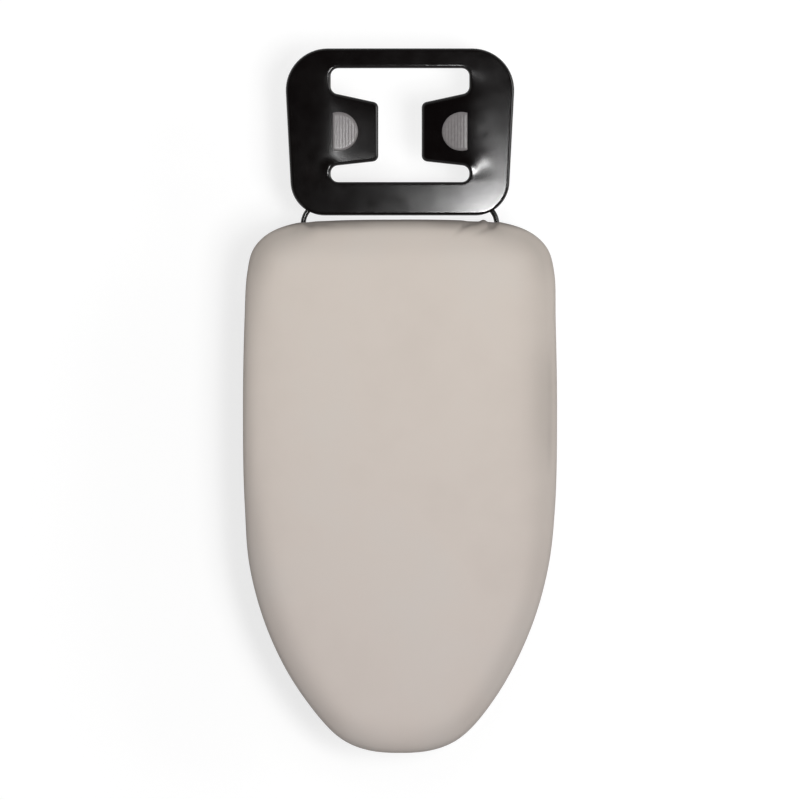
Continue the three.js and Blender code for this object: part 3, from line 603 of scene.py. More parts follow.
# %% Side and skirt of the cover
SAG, GATHER_SAG, GATHER_IN, RISE_LIMIT, ROD_LIFT = 0.4, 2.1, 0.8, 0.35, 0.5


def soft_inset(inset):
    return inset * (1 + (softness - 1) * (1 - inset / SHOULDER))


def cover_ring(inset, z):
    upper = ramp(z, 174, 180)
    inset = inset + (soft_inset(inset) - inset) * upper
    under = (1 - ramp(z, 163, 171)) * (1 - upper)
    sag = under * (SAG + GATHER_SAG * gathers) * (1 - rod_near)
    inset = inset + GATHER_IN * under * gathers - slack * ramp(z, 164, 170)
    over_rod = ROD_LIFT * rod_near * (z < 162)
    flat = edge_points + edge_inward * inset[:, None]
    return np.column_stack([flat, z - np.maximum(sag, -RISE_LIMIT) + over_rod])


cover_rings = np.array([cover_ring(inset, z) for inset, z in cover_section])
print("cover side", cover_rings.shape[0], "rings of", cover_rings.shape[1], "points")

# %% [markdown]
# The top is a stretched skin over soft felt. Each point of it is moved again and again to the mean of its
# neighbours plus a little lift, which is how a taut skin under pressure settles; the outermost ring stays
# put.

# %% Top of the cover, settled like a skin
COVER_TOP, COVER_PITCH, ROW_SHARE, ROUNDS, PUFF = 187.94, 7, 0.866, 1500, 0.001


def filled(ring_points, pitch, lift_to):
    ring_flat, low = ring_points[:, :2], ring_points[:, 2].mean()
    grid = staggered(np.arange(-160, 161, pitch), np.arange(-370, 191, pitch * ROW_SHARE), pitch)
    grid = grid[within(ring_flat, grid)]
    gap = np.min(np.linalg.norm(grid[:, None] - ring_flat[None], axis=2), axis=1)
    flat, faces = cut_sheet([ring_flat], grid[gap > 0.6 * pitch])
    start, end = np.array([(a, b) for f in faces for a, b in zip(f, f[1:] + f[:1])]).T.copy()

    def neighbours(values):
        return np.bincount(start, values[end], len(flat)) + np.bincount(end, values[start], len(flat))

    degree, lifted = neighbours(np.ones(len(flat))), np.zeros(len(flat))
    for _ in range(ROUNDS):
        lifted = neighbours(lifted) / degree + PUFF
        lifted[: len(ring_flat)] = 0
    return np.column_stack([flat, low + lifted / lifted.max() * (lift_to - low)]), faces


top_points, top_faces = filled(cover_rings[0], COVER_PITCH, COVER_TOP)
print("cover top", len(top_points), "points, highest", round(top_points[:, 2].max(), 2))

# %% [markdown]
# The folds by the rods are small hollows and ridges. Each is a soft bump, given by its place, its length and
# breadth, the way it runs and its depth. They push the cloth along its own surface normal, so a hollow on top
# also draws in the edge, as it does in the photograph. The rim tube and the edge of the mesh lie close under
# the cloth; `held_off` lets a hollow go only part of the way down to them. A slow swell keeps the top from
# being quite flat.

# %% Folds to press into the cover
RIM_INSET, RIM_Z, RIM_RADIUS, MESH_INSET, MESH_TOP = 8.7, 171.94, 7, 7.6, 180.6
KEPT_OFF, ROOM_SHARE, LEAST_ROOM, SWELL, SWELL_SCALE = 0.95, 0.72, 0.05, 0.22, 0.016
FOLDS = [
    ((77, 189), (6.5, 4.5), 0, 3.2), ((70.5, 184.5), (5, 2.5), 28, 3.2), ((64, 178.5), (9, 2.4), 40, 1.2),
    ((87.5, 188), (4.5, 4.5), 0, -1.7), ((95.5, 188), (4.5, 4), 0, 2.2), ((97, 183), (4, 3), 40, 5),
    ((89, 177.5), (10, 2.4), 27, 1.2), ((80, 180), (9, 2.2), 24, -0.6), ((106, 180), (9, 4), -60, -0.7),
    ((-95.5, 184), (5.5, 2.8), -22, 2.2), ((-84, 184), (12, 2.4), -6, 1.2), ((-104, 181), (6, 3.5), 60, -0.6),
    ((-97, 189), (4, 4), 0, 1.0), ((157.5, 20), (34, 2.6), 91, 0.5), ((157, -45), (30, 2.6), 89, 0.65),
    ((-158, -60), (40, 3), 88, 0.25),
]


def hollow(x, y, at, size, heading, depth):
    c, s = math.cos(math.radians(heading)), math.sin(math.radians(heading))
    u, v = (x - at[0]) * c + (y - at[1]) * s, (y - at[1]) * c - (x - at[0]) * s
    return depth * np.exp(-((u / size[0]) ** 2) - (v / size[1]) ** 2)


def fold_depth(points):
    return sum(hollow(points[..., 0], points[..., 1], *fold) for fold in FOLDS)


def swell(points):
    heights = [noise.noise(Vector(p) * SWELL_SCALE) for p in points.reshape(-1, 3)]
    return SWELL * np.array(heights).reshape(points.shape[:-1])


def held_off(press, inset, z):
    to_rim = np.hypot(RIM_INSET - inset, z - RIM_Z) - RIM_RADIUS
    to_mesh = np.hypot(np.maximum(MESH_INSET - inset, 0), z - MESH_TOP)
    room = np.maximum(ROOM_SHARE * (np.minimum(to_rim, to_mesh) - KEPT_OFF), LEAST_ROOM)
    return np.where(press > 0, room * (1 - np.exp(-np.maximum(press, 0) / room)), press)


print("folds", len(FOLDS))

# %% Folds pressed along the cloth's own normal
down = np.gradient(cover_rings, axis=0)
round_it = np.roll(cover_rings, -1, 1) - np.roll(cover_rings, 1, 1)
normal = np.cross(round_it, down)
normal /= np.linalg.norm(normal, axis=2)[..., None]
ring_high = cover_rings[..., 2]
ring_inset = np.sum((cover_rings[..., :2] - edge_points) * edge_inward, axis=2)
pressed = held_off(fold_depth(cover_rings) * ramp(ring_high, 165, 171), ring_inset, ring_high)
on_top = ramp(ring_high, 181, 186)
cover_rings = cover_rings - normal * (pressed + swell(cover_rings) * on_top)[..., None]
top_points[:, 2] -= held_off(fold_depth(top_points), SHOULDER, top_points[:, 2]) + swell(top_points)
print("deepest fold", round(pressed.max(), 2), "mm")

# %% Cover as a sheet with a thickness
def shifted(faces, by):
    return [tuple(by + k for k in face) for face in faces]


def thickened(piece, name, thickness, offset=-1):
    sheet = piece.modifiers.new(name, "SOLIDIFY")
    sheet.thickness = thickness * MM
    sheet.offset = offset


top_points[:stations] = cover_rings[0]
cover_points = np.vstack([cover_rings.reshape(-1, 3), top_points])
cover_faces = ring_faces(len(cover_rings), stations) + shifted(top_faces, cover_rings[..., 0].size)
cover = settle("cover_sheet", cover_points, cover_faces, "cover_cloth", stands_for=["cover"])
if cover.data.polygons[-1].normal.z < 0:
    cover.data.flip_normals()
thickened(cover, "cloth_thickness", CLOTH)
cover_area = sum(face.area for face in cover.data.polygons)
print("cover", len(cover.data.vertices), "points,", round(cover_area, 4), "square metres of cloth")

# %% [markdown]
# Shade is painted into the cloth's colour: it is a little darker where it turns over the edge, along the heel
# edge, in the folds and in a band inside the edge, where light falls off over the soft shoulder and into the
# creases. It is also painted slowly darker towards the nose. An image would need unwrapping, so the tone is
# worked out for each vertex, from its distance to the edge, its place on the board and the folds there, and
# painted into it.

# %% Painted shade at the edge, the heel and the folds
EDGE_TONE, CURVE_TONE, WIDE_TONE, HEEL_TONE, FOLD_TONE = 0.15, 0.09, 0.05, 0.48, 0.1
places = np.array([vertex.co for vertex in cover.data.vertices]) / MM
across, along, high = places.T
nearest = np.array([np.hypot(edge_x - x, edge_y - y).argmin() for x, y, _ in places])
upper = high > 176
inset = np.linalg.norm(places[:, :2] - edge_points[nearest], axis=1) * upper
# Painted shade over the shoulder: darker near the edge, more at tight corners, with a wider faint band.
at_edge = EDGE_TONE + CURVE_TONE * tightness[nearest]
# Painted shadow along the top of the heel edge.
at_heel = HEEL_TONE * smooth(along, 174, 188) * smooth(high, 166, 178)
tone = 1 - at_edge * np.exp(-inset / 11) - WIDE_TONE * np.exp(-inset / 30)
tone -= at_heel * np.exp(-inset / 3.5)
# Painted shade in the creases of the folds.
tone -= FOLD_TONE * np.maximum(fold_depth(places), 0) * upper
print("tone from", round(tone.min(), 2), "to", round(tone.max(), 2))

# %% Painted shade in a band inside the edge
# Painted shade: a soft darker band a little inside the edge, stronger towards the heel and its corners, weaker
# along the left side and at the nose.
BAND_SHADE, CORNER_BAND_SHADE, RIGHT_BAND_SHADE, HEEL_BAND_SHADE, ROD_BAND_SHADE, NOSE_SHARE = 0.11, 0.08, 0.08, 0.05, 0.08, 0.6
right, left = smooth(across, 40, 140), smooth(-across, 40, 140)
to_heel = smooth(along, 110, 165)
heel_middle = smooth(along, 150, 180) * (1 - smooth(np.abs(across), 80, 125))
band_shade = BAND_SHADE * (1 - left * bell(along, -5, 100, 4)) + CORNER_BAND_SHADE * to_heel
band_shade += RIGHT_BAND_SHADE * right * bell(along, -8, 60, 4)
band_shade += heel_middle * (HEEL_BAND_SHADE + ROD_BAND_SHADE * smooth(np.abs(across), 20, 50))
band_shade *= 1 - NOSE_SHARE * smooth(-along, 330, 360)
darkest_at = 11 - 5 * heel_middle
wider = np.maximum(right * smooth(along, -200, -60), to_heel * (1 - heel_middle))
reach = 12 + 8 * wider - 6 * heel_middle
tone -= band_shade * bell(inset, darkest_at, np.where(inset < darkest_at, 8, reach)) * upper
print("strongest grip", round(band_shade.max(), 2))

# %% Painted shade, written into the cover's vertices
DARKEST, NOSE_DARKENING = 0.34, (0.075, 0.078, 0.055)
tone = np.maximum(tone, DARKEST)
# The cloth is also painted slowly darker, and a little cooler, towards the nose.
toward_nose = smooth(-along, -190, 370)
tints = [tone * (1 - share * toward_nose) for share in NOSE_DARKENING]
# This colour layer holds the painted shade of the cover.
painted_shade = cover.data.color_attributes.new("painted_shade", "FLOAT_COLOR", "POINT")
painted_shade.data.foreach_set("color", np.column_stack(tints + [np.ones(len(tone))]).ravel())
print("handling marks", len(painted_shade.data))

# %% [markdown]
# ## Hem: elastic tape and stitches
# The tape lies in the fold of the hem and follows its gathers. A row of stitches closes the fold from below;
# each stitch is a short spindle that sits half in the cloth.

# %% Elastic tape in the hem
TAPE_INSET, TAPE_LIFT = 24.3, 1.75
UP = (0, 0, 1)
hem_ring = cover_rings[-3]
tape_middle = np.column_stack([edge_points + edge_inward * TAPE_INSET, hem_ring[:, 2] + TAPE_LIFT])
tape_section = np.array([
    (-3.9, -0.4), (-3.9, 0.4), (-2, 0.5), (0, 0.42), (2, 0.5), (3.9, 0.4), (3.9, -0.4), (0, -0.46),
])
tape = sweep(tape_middle, UP, tape_section, closed=True)
hem_tape = settle("hem_tape", *tape, "elastic", stands_for=["hem_elastic"])
print("tape", round(np.linalg.norm(np.roll(tape_middle, -1, 0) - tape_middle, axis=1).sum()), "mm long")

# %% Stitches along the hem
STITCHES, SIDES = 392, 6
SPINDLE = ((-1.25, 0.05), (-0.8, 0.28), (0.8, 0.28), (1.25, 0.05))
seam = even(hem_ring, STITCHES)
stitch_points, stitch_faces = [], []
for i, here in enumerate(seam):
    ahead = seam[(i + 1) % STITCHES] - seam[i - 1]
    ahead /= np.linalg.norm(ahead)
    out = np.cross(ahead, UP)
    stitch_faces += shifted(tube_faces(len(SPINDLE), SIDES), len(stitch_points))
    for run, width in SPINDLE:
        for a in np.arange(SIDES) * 2 * math.pi / SIDES:
            below = (0, 0, width * math.sin(a) - CLOTH - 0.06)
            stitch_points.append(here + ahead * run + out * width * math.cos(a) + below)
stitches = settle("hem_stitches", stitch_points, stitch_faces, "cover_cloth", finish="thread")
print("stitches", len(seam))

# %% [markdown]
# ## Felt underlay
# A pad of pressed felt fills the space between the mesh and the cover: flat below, with a soft shoulder that
# the cover follows. It is one closed form: a loft round the edge, filled above and below like the top of the
# cover. Under the folds it is thinned, so that it never comes through the cloth.

# %% Felt pad
FELT_LOW, FELT_TOP, FELT_PITCH = 180.8, 186.4, 11
felt_section = free_curve([
    (SHOULDER, FELT_LOW), (18, FELT_LOW), (9.8, 180.85), (7.8, 181.0), (7.2, 181.3), (8, 181.8), (11.8, 182.8),
    (16.8, 184.1), (23, 185.1), (SHOULDER, 185.8),
], 2)
felt_rings = np.array([
    np.column_stack([edge_points + edge_inward * soft_inset(inset)[:, None], np.full(stations, z)])
    for inset, z in felt_section
])[:, ::2]
felt_top, felt_top_faces = filled(felt_rings[-1], FELT_PITCH, FELT_TOP)
felt_under, felt_under_faces = filled(felt_rings[0], FELT_PITCH, FELT_LOW)
felt_points = np.vstack([felt_rings.reshape(-1, 3), felt_top, felt_under])
felt_faces = ring_faces(len(felt_rings), stations // 2) + shifted(felt_top_faces, felt_rings[..., 0].size)
felt_faces += shifted(felt_under_faces, felt_rings[..., 0].size + len(felt_top))
print("felt", len(felt_points), "points")

# %% Felt thinned under the folds
upper_section = cover_section[:24][::-1]
felt_inset = np.min(np.linalg.norm(felt_points[:, None, :2] - edge_points[None], axis=2), axis=1)
over_felt = np.interp(felt_inset, upper_section[:, 0], upper_section[:, 1])
felt_pressed = held_off(fold_depth(felt_points), felt_inset, over_felt)
thinned = 1 - np.clip(felt_pressed / (over_felt - MESH_TOP - KEPT_OFF), 0, 0.95)
felt_high = np.clip(felt_points[:, 2] - FELT_LOW - 0.15, 0, None)
felt_points[:, 2] -= felt_high * (1 - thinned) + swell(felt_points) * ramp(felt_high, 0, 3)
felt_pad = settle("felt_pad", felt_points, felt_faces, "felt", stands_for=["felt_underlay"])
print("thinnest felt", round(thinned.min(), 2), "of its height")

# %% [markdown]
# ## Expanded mesh deck
# Expanded metal is slit and pulled open, so each strand is twisted: the upper lip of a diamond stands proud
# and the lower lip sinks. Tilting the corners of each opening a little gives the same look from below.

# %% Mesh deck
DIAMOND_LONG, DIAMOND_WIDE, STRAND, BORDER = 28, 14.5, 2.0, 19
MESH_Z, MESH_SHEET, TWIST = 180.3, 1.1, 0.3
DIAMOND = [
    (0.98, 0), (0.52, 0.46), (0.07, 0.94), (-0.07, 0.94), (-0.52, 0.46),
    (-0.98, 0), (-0.52, -0.46), (-0.07, -0.94), (0.07, -0.94), (0.52, -0.46),
]
mesh_edge, mesh_inward = board_edge(300)
border = mesh_edge + mesh_inward * BORDER
half_long, half_wide = DIAMOND_LONG / 2, DIAMOND_WIDE / 2
shrink = 1 - STRAND * math.hypot(half_long, half_wide) / (2 * half_long * half_wide)


def spot(x, y):
    return round(x, 2), round(y, 2)


openings, tilts = [mesh_edge + mesh_inward * MESH_INSET], {}
for row in range(math.ceil(BOARD_LENGTH / half_long) + 1):
    for column in range(-12, 13):
        x, y = (column + row % 2 / 2) * DIAMOND_WIDE, HEEL_Y - row * half_long
        diamond = np.array([(x + shrink * half_wide * u, y + shrink * half_long * v) for u, v in DIAMOND])
        if within(border, diamond).all():
            openings.append(diamond)
            tilts.update({spot(*corner): TWIST * v for corner, (_, v) in zip(diamond, DIAMOND)})
mesh_flat, mesh_faces = cut_sheet(openings)
mesh_high = [MESH_Z + tilts.get(spot(*point), 0) for point in mesh_flat]
mesh_points = np.column_stack([mesh_flat, mesh_high])
mesh_deck = settle("expanded_mesh", mesh_points, mesh_faces, "galvanised_mesh", stands_for=["mesh_deck"])
thickened(mesh_deck, "sheet", MESH_SHEET, -1 if mesh_deck.data.polygons[0].normal.z > 0 else 1)
print("mesh with", len(openings) - 1, "diamonds")

# %% [markdown]
# ## Frame steel
# Rails, brackets and clips keep the shape of their nodes, but pressed steel has no knife edges. A copy of
# each node is welded, its flat faces are joined, and its sharp edges get a small bevel that catches the
# light. The rim is a tube that follows the outline.

# %% Steel with softened edges
HANDS = {"left": -1, "right": 1}


def softened(node, slot, bevel):
    work = bmesh.new()
    work.from_mesh(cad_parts[node].data)
    bmesh.ops.remove_doubles(work, verts=work.verts, dist=WELD_GAP)
    bmesh.ops.dissolve_limit(work, angle_limit=math.radians(1), verts=work.verts, edges=work.edges)
    sharp = [e for e in work.edges if len(e.link_faces) == 2 and e.calc_face_angle() > math.radians(35)]
    bmesh.ops.bevel(
        work, geom=sharp, offset=bevel * MM, segments=2, profile=0.5, affect="EDGES", clamp_overlap=True
    )
    mesh = bpy.data.meshes.new(node + "_steel")
    work.to_mesh(mesh)
    work.free()
    piece = dressed(mesh, slot, "deck", [node])
    mesh.set_sharp_from_angle(angle=math.radians(42))
    return piece


steel = [softened(name + "_rail", "black_paint", 0.45) for name in ("heel", "rear", "centre", "front")]
brackets = [f"{end}_bracket_{hand}" for end in ("front", "rear") for hand in HANDS]
clips = [f"rod_clip_{end}_{hand}" for hand in HANDS for end in ("heel", "rear")]
steel += [softened(name, "black_paint", 0.4) for name in brackets]
steel += [softened(name, "black_paint", 0.25) for name in clips]
print("softened", len(steel), "pieces,", sum(len(s.data.polygons) for s in steel), "faces")

# %% Rim tube under the cover
rim_middle, rim_inward = board_edge(240)
rim_path = np.column_stack([rim_middle + rim_inward * RIM_INSET, np.full(len(rim_middle), RIM_Z)])
rim_tube = sweep(rim_path, UP, ring(RIM_RADIUS, 20), closed=True)
rim = settle("rim_tube_round", *rim_tube, "black_paint", stands_for=["rim_tube"])
print("rim", len(rim.data.polygons), "faces")

# %% [markdown]
# ## Legs
# Each leg is one tube bent to a U, with its two ends pressed flat into lugs. The section is a circle that
# turns into a flat, rounded oblong along the last 40 mm. The leg stands splayed, so the whole path is tilted
# about its hinge.

# %% Where the legs hinge, and how far they splay
HINGE_Z, SPLAY = 144.941, math.radians(12)


def middle_x(node):
    low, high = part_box(node)
    return (low.x + high.x) / 2 / MM


def splayed(points, y, way):
    points = np.asarray(points, float)
    c, s = math.cos(way * SPLAY), math.sin(way * SPLAY)
    return np.column_stack([
        points[:, 0], y + c * points[:, 1] - s * points[:, 2], HINGE_Z + s * points[:, 1] + c * points[:, 2],
    ])


hinges = (("front", -220.5, -1), ("rear", 83.5, 1))
LEGS = {name: (middle_x(f"{name}_pin_right"), y, way) for name, y, way in hinges}
print("hinges", {name: round(half, 2) for name, (half, _, _) in LEGS.items()}, "mm from the middle")

# %% Leg tubes
LEG_LENGTH, LEG_BEND, TUBE_RADIUS = 140, 30, 6
LUG_RADIUS, LUG_THICK, LUG_END = 8.5, 2.2, 8.45


def leg_section(from_axis):
    flat = 1 - smooth(from_axis, 1.6 * LUG_RADIUS, 4.6 * LUG_RADIUS)
    wide, thick = (TUBE_RADIUS + (lug - TUBE_RADIUS) * flat for lug in (LUG_RADIUS, LUG_THICK))
    end = math.sqrt(max(LUG_RADIUS**2 - from_axis**2, 0.2)) / LUG_RADIUS if from_axis < 0 else 1
    rounding = math.sqrt(max(end, 0.05)) if from_axis < 0 else 1
    unit = ring(1, 28)
    oblong = np.sign(unit) * np.abs(unit) ** (1 - 0.55 * flat)
    return oblong * (thick * min(1, 0.55 + 0.45 * rounding), wide * end)


def leg_tube(name):
    half, y, way = LEGS[name]
    down = LEG_LENGTH - LEG_BEND
    heights = [-LUG_END, -8.2, -7.6, -6.6, -5.2, -3.5, -1.6]
    heights += [*np.linspace(0, 42, 26), *np.linspace(50, down, 6)]
    path = [(half, 0, -z) for z in heights]
    for a in np.linspace(0, math.pi / 2, 17)[1:]:
        path.append((half - LEG_BEND * (1 - math.cos(a)), 0, -down - LEG_BEND * math.sin(a)))
    path = np.array(path + [(-x, yy, z) for x, yy, z in path[::-1]])
    steps = np.concatenate([[0], np.cumsum(np.linalg.norm(np.diff(path, axis=0), axis=1))])
    sections = np.array([leg_section(min(s, steps[-1] - s) - LUG_END) for s in steps])
    points, faces = sweep(path, (0, 1, 0), sections)
    leg = f"{name}_leg"
    return settle(leg + "_tube", splayed(points, y, way), faces, "black_paint", leg, [leg])


leg_tubes = [leg_tube(name) for name in LEGS]
print("legs", [len(leg.data.vertices) for leg in leg_tubes], "points")

# %% [markdown]
# Rubber sleeves grip the floor bar. A sleeve is turned like a ring, with rounded ends and grip grooves, and
# then pressed flat below, where it stands on the table.

# %% Foot sleeves
FOOT_RADIUS, GROOVE_RADIUS, SOLE, FOOT_HALF, TURNED_EDGE = 8.9, 8.45, 8.0, 17, math.radians(50)
foot_end = [(6.15, 0), (7.6, 0), (8.5, 0.5), (FOOT_RADIUS, 1.6)]
foot_profile = [(r, -FOOT_HALF + x) for r, x in foot_end]
for groove in (-11.5, -8.5, 8.5, 11.5):
    foot_profile += [(FOOT_RADIUS, groove - 0.9), (GROOVE_RADIUS, groove - 0.4)]
    foot_profile += [(GROOVE_RADIUS, groove + 0.4), (FOOT_RADIUS, groove + 0.9)]
foot_profile += [(r, -x) for r, x in foot_profile[3::-1]]
rings, faces = turned(foot_profile, 48, closed=True)
sleeve = np.column_stack([rings[:, 2], rings[:, 0], np.maximum(rings[:, 1], -SOLE)])
feet = []
for name, (half, y, way) in LEGS.items():
    _, bar_y, bar_z = splayed([(0, 0, -LEG_LENGTH)], y, way)[0]
    for hand, side in HANDS.items():
        points = sleeve + (side * (half - LEG_BEND - FOOT_HALF), bar_y, bar_z)
        foot_name = f"{name}_foot_{hand}"
        foot = settle(foot_name + "_sleeve", points, faces, "foot_rubber", f"{name}_leg", [foot_name])
        foot.data.set_sharp_from_angle(angle=TURNED_EDGE)
        feet.append(foot)
print("feet stand at", [round(min(v.co.z for v in foot.data.vertices) / MM, 3) for foot in feet])

# %% [markdown]
# Hinge pins, rivets and washers are turned parts. Their profiles are short lists of radius and height; pins
# and washers lie along the hinge, rivets stand upright through bracket and rail.

# %% Profiles of the pins, washers and rivets
PIN_END, RAIL_Z = 6.6, 160.241
pin_head = [(0, 2.9), (0, 4.8), (0.25, 5), (0.8, 4.95), (1.4, 4.4), (1.85, 3.2), (2, 1.6), (2, 0.3)]
pin_half = [(r, PIN_END + rise) for rise, r in pin_head]
pin_profile = [(r, -z) for r, z in pin_half[::-1]] + pin_half
washer_profile = [(3.2, -0.75), (7.15, -0.75), (7.4, -0.5), (7.4, 0.5), (7.15, 0.75), (3.2, 0.75)]
low, high = RAIL_Z - 2.6, RAIL_Z + 1.8
rivet_profile = [
    (0.2, low - 1.4), (0.9, low - 1.35), (1.7, low - 1.05), (2.3, low - 0.5), (2.5, low), (1.6, low),
    (1.6, high), (2.5, high), (2.4, high + 0.5), (1.6, high + 0.9), (0.2, high + 0.98),
]
print("pin", round(2 * pin_half[-1][1], 1), "mm long, rivet", round(high - low, 1), "mm between its heads")

# %% Pins, washers and rivets
WASHER_OUT = 3.25
small_parts = []


def turned_part(name, ending, slot, body, made, centre, lying=True):
    points, faces = made
    points = (points[:, [2, 0, 1]] if lying else points) + centre
    part = settle(name + ending, points, faces, slot, body, [name])
    part.data.set_sharp_from_angle(angle=TURNED_EDGE)
    small_parts.append(part)


pin, washer, rivet = turned(pin_profile, 32), turned(washer_profile, 40, closed=True), turned(rivet_profile, 24)
for name, (half, y, way) in LEGS.items():
    for hand, side in HANDS.items():
        x = side * half
        turned_part(f"{name}_pin_{hand}", "_turned", "zinc_steel", "deck", pin, (x, y, HINGE_Z))
        for face, out in (("outer", 1), ("inner", -1)):
            washer_name, centre = f"{name}_washer_{hand}_{face}", (x + side * out * WASHER_OUT, y, HINGE_Z)
            turned_part(washer_name, "_disc", "nylon", f"{name}_leg", washer, centre)
        for number in (1, 2):
            rivet_name = f"{name}_rivet_{hand}_{number}"
            centre = (middle_x(rivet_name), y, 0)
            turned_part(rivet_name, "_turned", "zinc_steel", "deck", rivet, centre, lying=False)
print("turned parts", len(small_parts))

# %% [markdown]
# ## Iron rest: the hoop
# One rod makes the whole hoop: it runs out from under the board, bends in to the plate, goes along both sides
# of the plate and across its far end.

# %% Rest hoop
PLATE_Y, PLATE_Z, REST_LENGTH, PLATE_SHEET = 194.5, 161.441, 176, 1.0
ROD_START, ROD_HALF, HOOP_HALF, ROD_Z, ROD_RADIUS = 72.6, 101.97, 87.97, 157.191, 2.75


def mirrored(corners):
    return corners + [(-x, y, radius) for x, y, radius in corners[::-1]]


FAR_INSET, BEND_RUN, BEND_RADIUS, FAR_RADIUS = 10.5, 14, 22, 28
rod_corners = [
    (ROD_HALF, ROD_START, 0), (ROD_HALF, PLATE_Y, BEND_RADIUS), (HOOP_HALF, PLATE_Y + BEND_RUN, BEND_RADIUS),
    (HOOP_HALF, PLATE_Y + REST_LENGTH - FAR_INSET, FAR_RADIUS),
]
rod_line = even(round_corners(mirrored(rod_corners), 14, closed=False), 360, closed=False)
rod_path = np.column_stack([rod_line, np.full(len(rod_line), ROD_Z)])
rod = sweep(rod_path, UP, ring(ROD_RADIUS, 20))
hoop = settle("rest_hoop_rod", *rod, "black_enamel", stands_for=["rest_hoop"])
rod_length = np.linalg.norm(np.diff(rod_line, axis=0), axis=1).sum()
print("hoop rod", round(rod_length), "mm long,", len(hoop.data.vertices), "points")

# %% [markdown]
# ## Iron rest: the pressed plate
# The plate is the best piece of the object: one gently domed pressing with a rolled rim, an H-shaped opening
# with rolled lips and two tabs that slope down to the middle. It is made as a height over a flat sheet. The
# sheet is cut between the loop of the rim and the loop of the opening, then lifted to its height, and the
# rolled edges are added as rings outside those loops. Where the two rods come in, the rim is notched.

# %% Loops of the plate, in its own plane
NEAR_HALF, FLARE, CREASE, SLOT_HALF = ROD_HALF + 11.6, 9.2, 71.57, 72.97
NEAR_SLOT, FAR_SLOT, TAB_END = (35.2, 51.8), (129.5, 155), 22.87
TAB_NEAR, TAB_FAR = NEAR_SLOT[1] + 5.8, FAR_SLOT[0] - 10.5


def plate_rim(inset):
    near = (NEAR_HALF - inset, inset, 36 - inset)
    far = (NEAR_HALF + FLARE - inset, REST_LENGTH - inset, 44 - inset)
    return round_corners(mirrored([near, far]), 16)


def plate_opening(grow):
    side, tab, slot, turn = SLOT_HALF + grow, TAB_END + grow, 8 + grow, 6.5 - grow
    return round_corners(mirrored([
        (side, NEAR_SLOT[0] - grow, slot), (side, NEAR_SLOT[1] + grow, slot), (tab, TAB_NEAR + grow, turn),
        (tab, TAB_FAR - grow, turn), (side, FAR_SLOT[0] - grow, slot), (side, FAR_SLOT[1] + grow, slot),
    ]), 8)


def refined(loop, longest, like=None):
    like = loop if like is None else like
    made = []
    for a, b, c, d in zip(loop, np.roll(loop, -1, 0), like, np.roll(like, -1, 0)):
        parts = max(1, math.ceil(np.linalg.norm(d - c) / longest))
        made += [a + (b - a) * k / parts for k in range(parts)]
    return np.array(made)


print("rim loop", len(plate_rim(3)), "points, opening loop", len(plate_opening(3)), "points")

# %% [markdown]
# The height of the plate is a sum: a shallow dome, the two tabs that bow a little as they slope down, puckers
# at the roots of the tabs, where the sheet was drawn in the press, and a faint dimple at each weld.

# %% Height of the plate
DOME_RISE, DOME_ACROSS, DOME_ALONG, TAB_SLOPE = 1.5, 1.31, 0.8, math.radians(8)
CREASE_SOFT, TAB_BOW, TAB_MIDDLE = 5.4, 0.055, 88.3
PUCKERS = ((0.8, 73.7, 50.7, 43), (0.2, 86, 61, 80))
WELDS, WELD_DIP, WELD_AREA = ((HOOP_HALF, 88), (HOOP_HALF, 140), (44, 165.5)), 0.04, 22


def plate_height(x, y):
    dome = DOME_RISE - DOME_ACROSS * (x / 100) ** 2 - DOME_ALONG * ((y - 83) / 80) ** 2
    tab = smooth(y, 36, 52) * (1 - smooth(y, 129, 154))
    run = CREASE_SOFT * np.logaddexp(0, (CREASE - np.abs(x)) / CREASE_SOFT)
    bow = TAB_BOW * np.sqrt(run) * ((y - TAB_MIDDLE) / 30) ** 4
    bumps = [*PUCKERS, *((-WELD_DIP, u, v, WELD_AREA) for u, v in WELDS)]
    bumps = sum(lift * np.exp(-((np.abs(x) - u) ** 2 + (y - v) ** 2) / area) for lift, u, v, area in bumps)
    return dome - tab * (math.tan(TAB_SLOPE) * run + bow) + bumps


sample = plate_height(np.array([0.0, 90.0, 110.0, 30.0]), np.array([10.0, 88.0, 88.0, 88.0]))
print("plate height at four places", np.round(sample, 2))

# %% Loops and sheet of the plate
ROLL, RIM_STEP, LIP_STEP, PLATE_PITCH, PLATE_ROWS = 3.0, 3.0, 2.2, 2.6, 2.25
RIM_MARGIN, LIP_MARGIN = (5.4, 4, 2.7, 1.6, 0.7), (2.7, 1.8, 1.1, 0.5)
turn_steps = np.linspace(0, math.pi / 2, 7)
roll_in = [ROLL * (1 - math.sin(a)) for a in turn_steps]
roll_drops = [ROLL * (1 - math.cos(a)) for a in turn_steps]
rim_amounts = [ROLL + d for d in RIM_MARGIN] + roll_in + [0, 0]
lip_amounts = [ROLL + d for d in LIP_MARGIN] + roll_in + [0]
rim_loops = [refined(plate_rim(amount), RIM_STEP, plate_rim(ROLL)) for amount in rim_amounts]
lip_loops = [refined(plate_opening(amount), LIP_STEP, plate_opening(ROLL)) for amount in lip_amounts]
grid = staggered(np.arange(-120, 121, PLATE_PITCH), np.arange(2, 176, PLATE_ROWS), PLATE_PITCH)
kept = within(plate_rim(rim_amounts[0] + 1.3), grid) & ~within(plate_opening(lip_amounts[0] + 0.7), grid)
plate_flat, plate_faces = cut_sheet([rim_loops[0], lip_loops[0]], grid[kept])
plate_points = list(np.column_stack([plate_flat, plate_height(*plate_flat.T)]))
print("flat of the plate", len(plate_flat), "points")

# %% Rolled rim, notches and lips
RIM_LOW, NOTCH_HALF, NOTCH_LOW, NOTCH_END = -8.0, 7.7, -1.45, 36


def add_rings(loops, drops, notched=False):
    rings = []
    for loop, drop in zip(loops, drops):
        top = plate_height(*loop.T)
        z = np.where(notched, np.maximum(top - drop / 3, NOTCH_LOW), np.maximum(top - drop, RIM_LOW))
        rings.append(np.column_stack([loop, z]))
    plate_faces.extend(shifted(ring_faces(len(loops), len(loops[0])), len(plate_points)))
    plate_points.extend(np.vstack(rings))


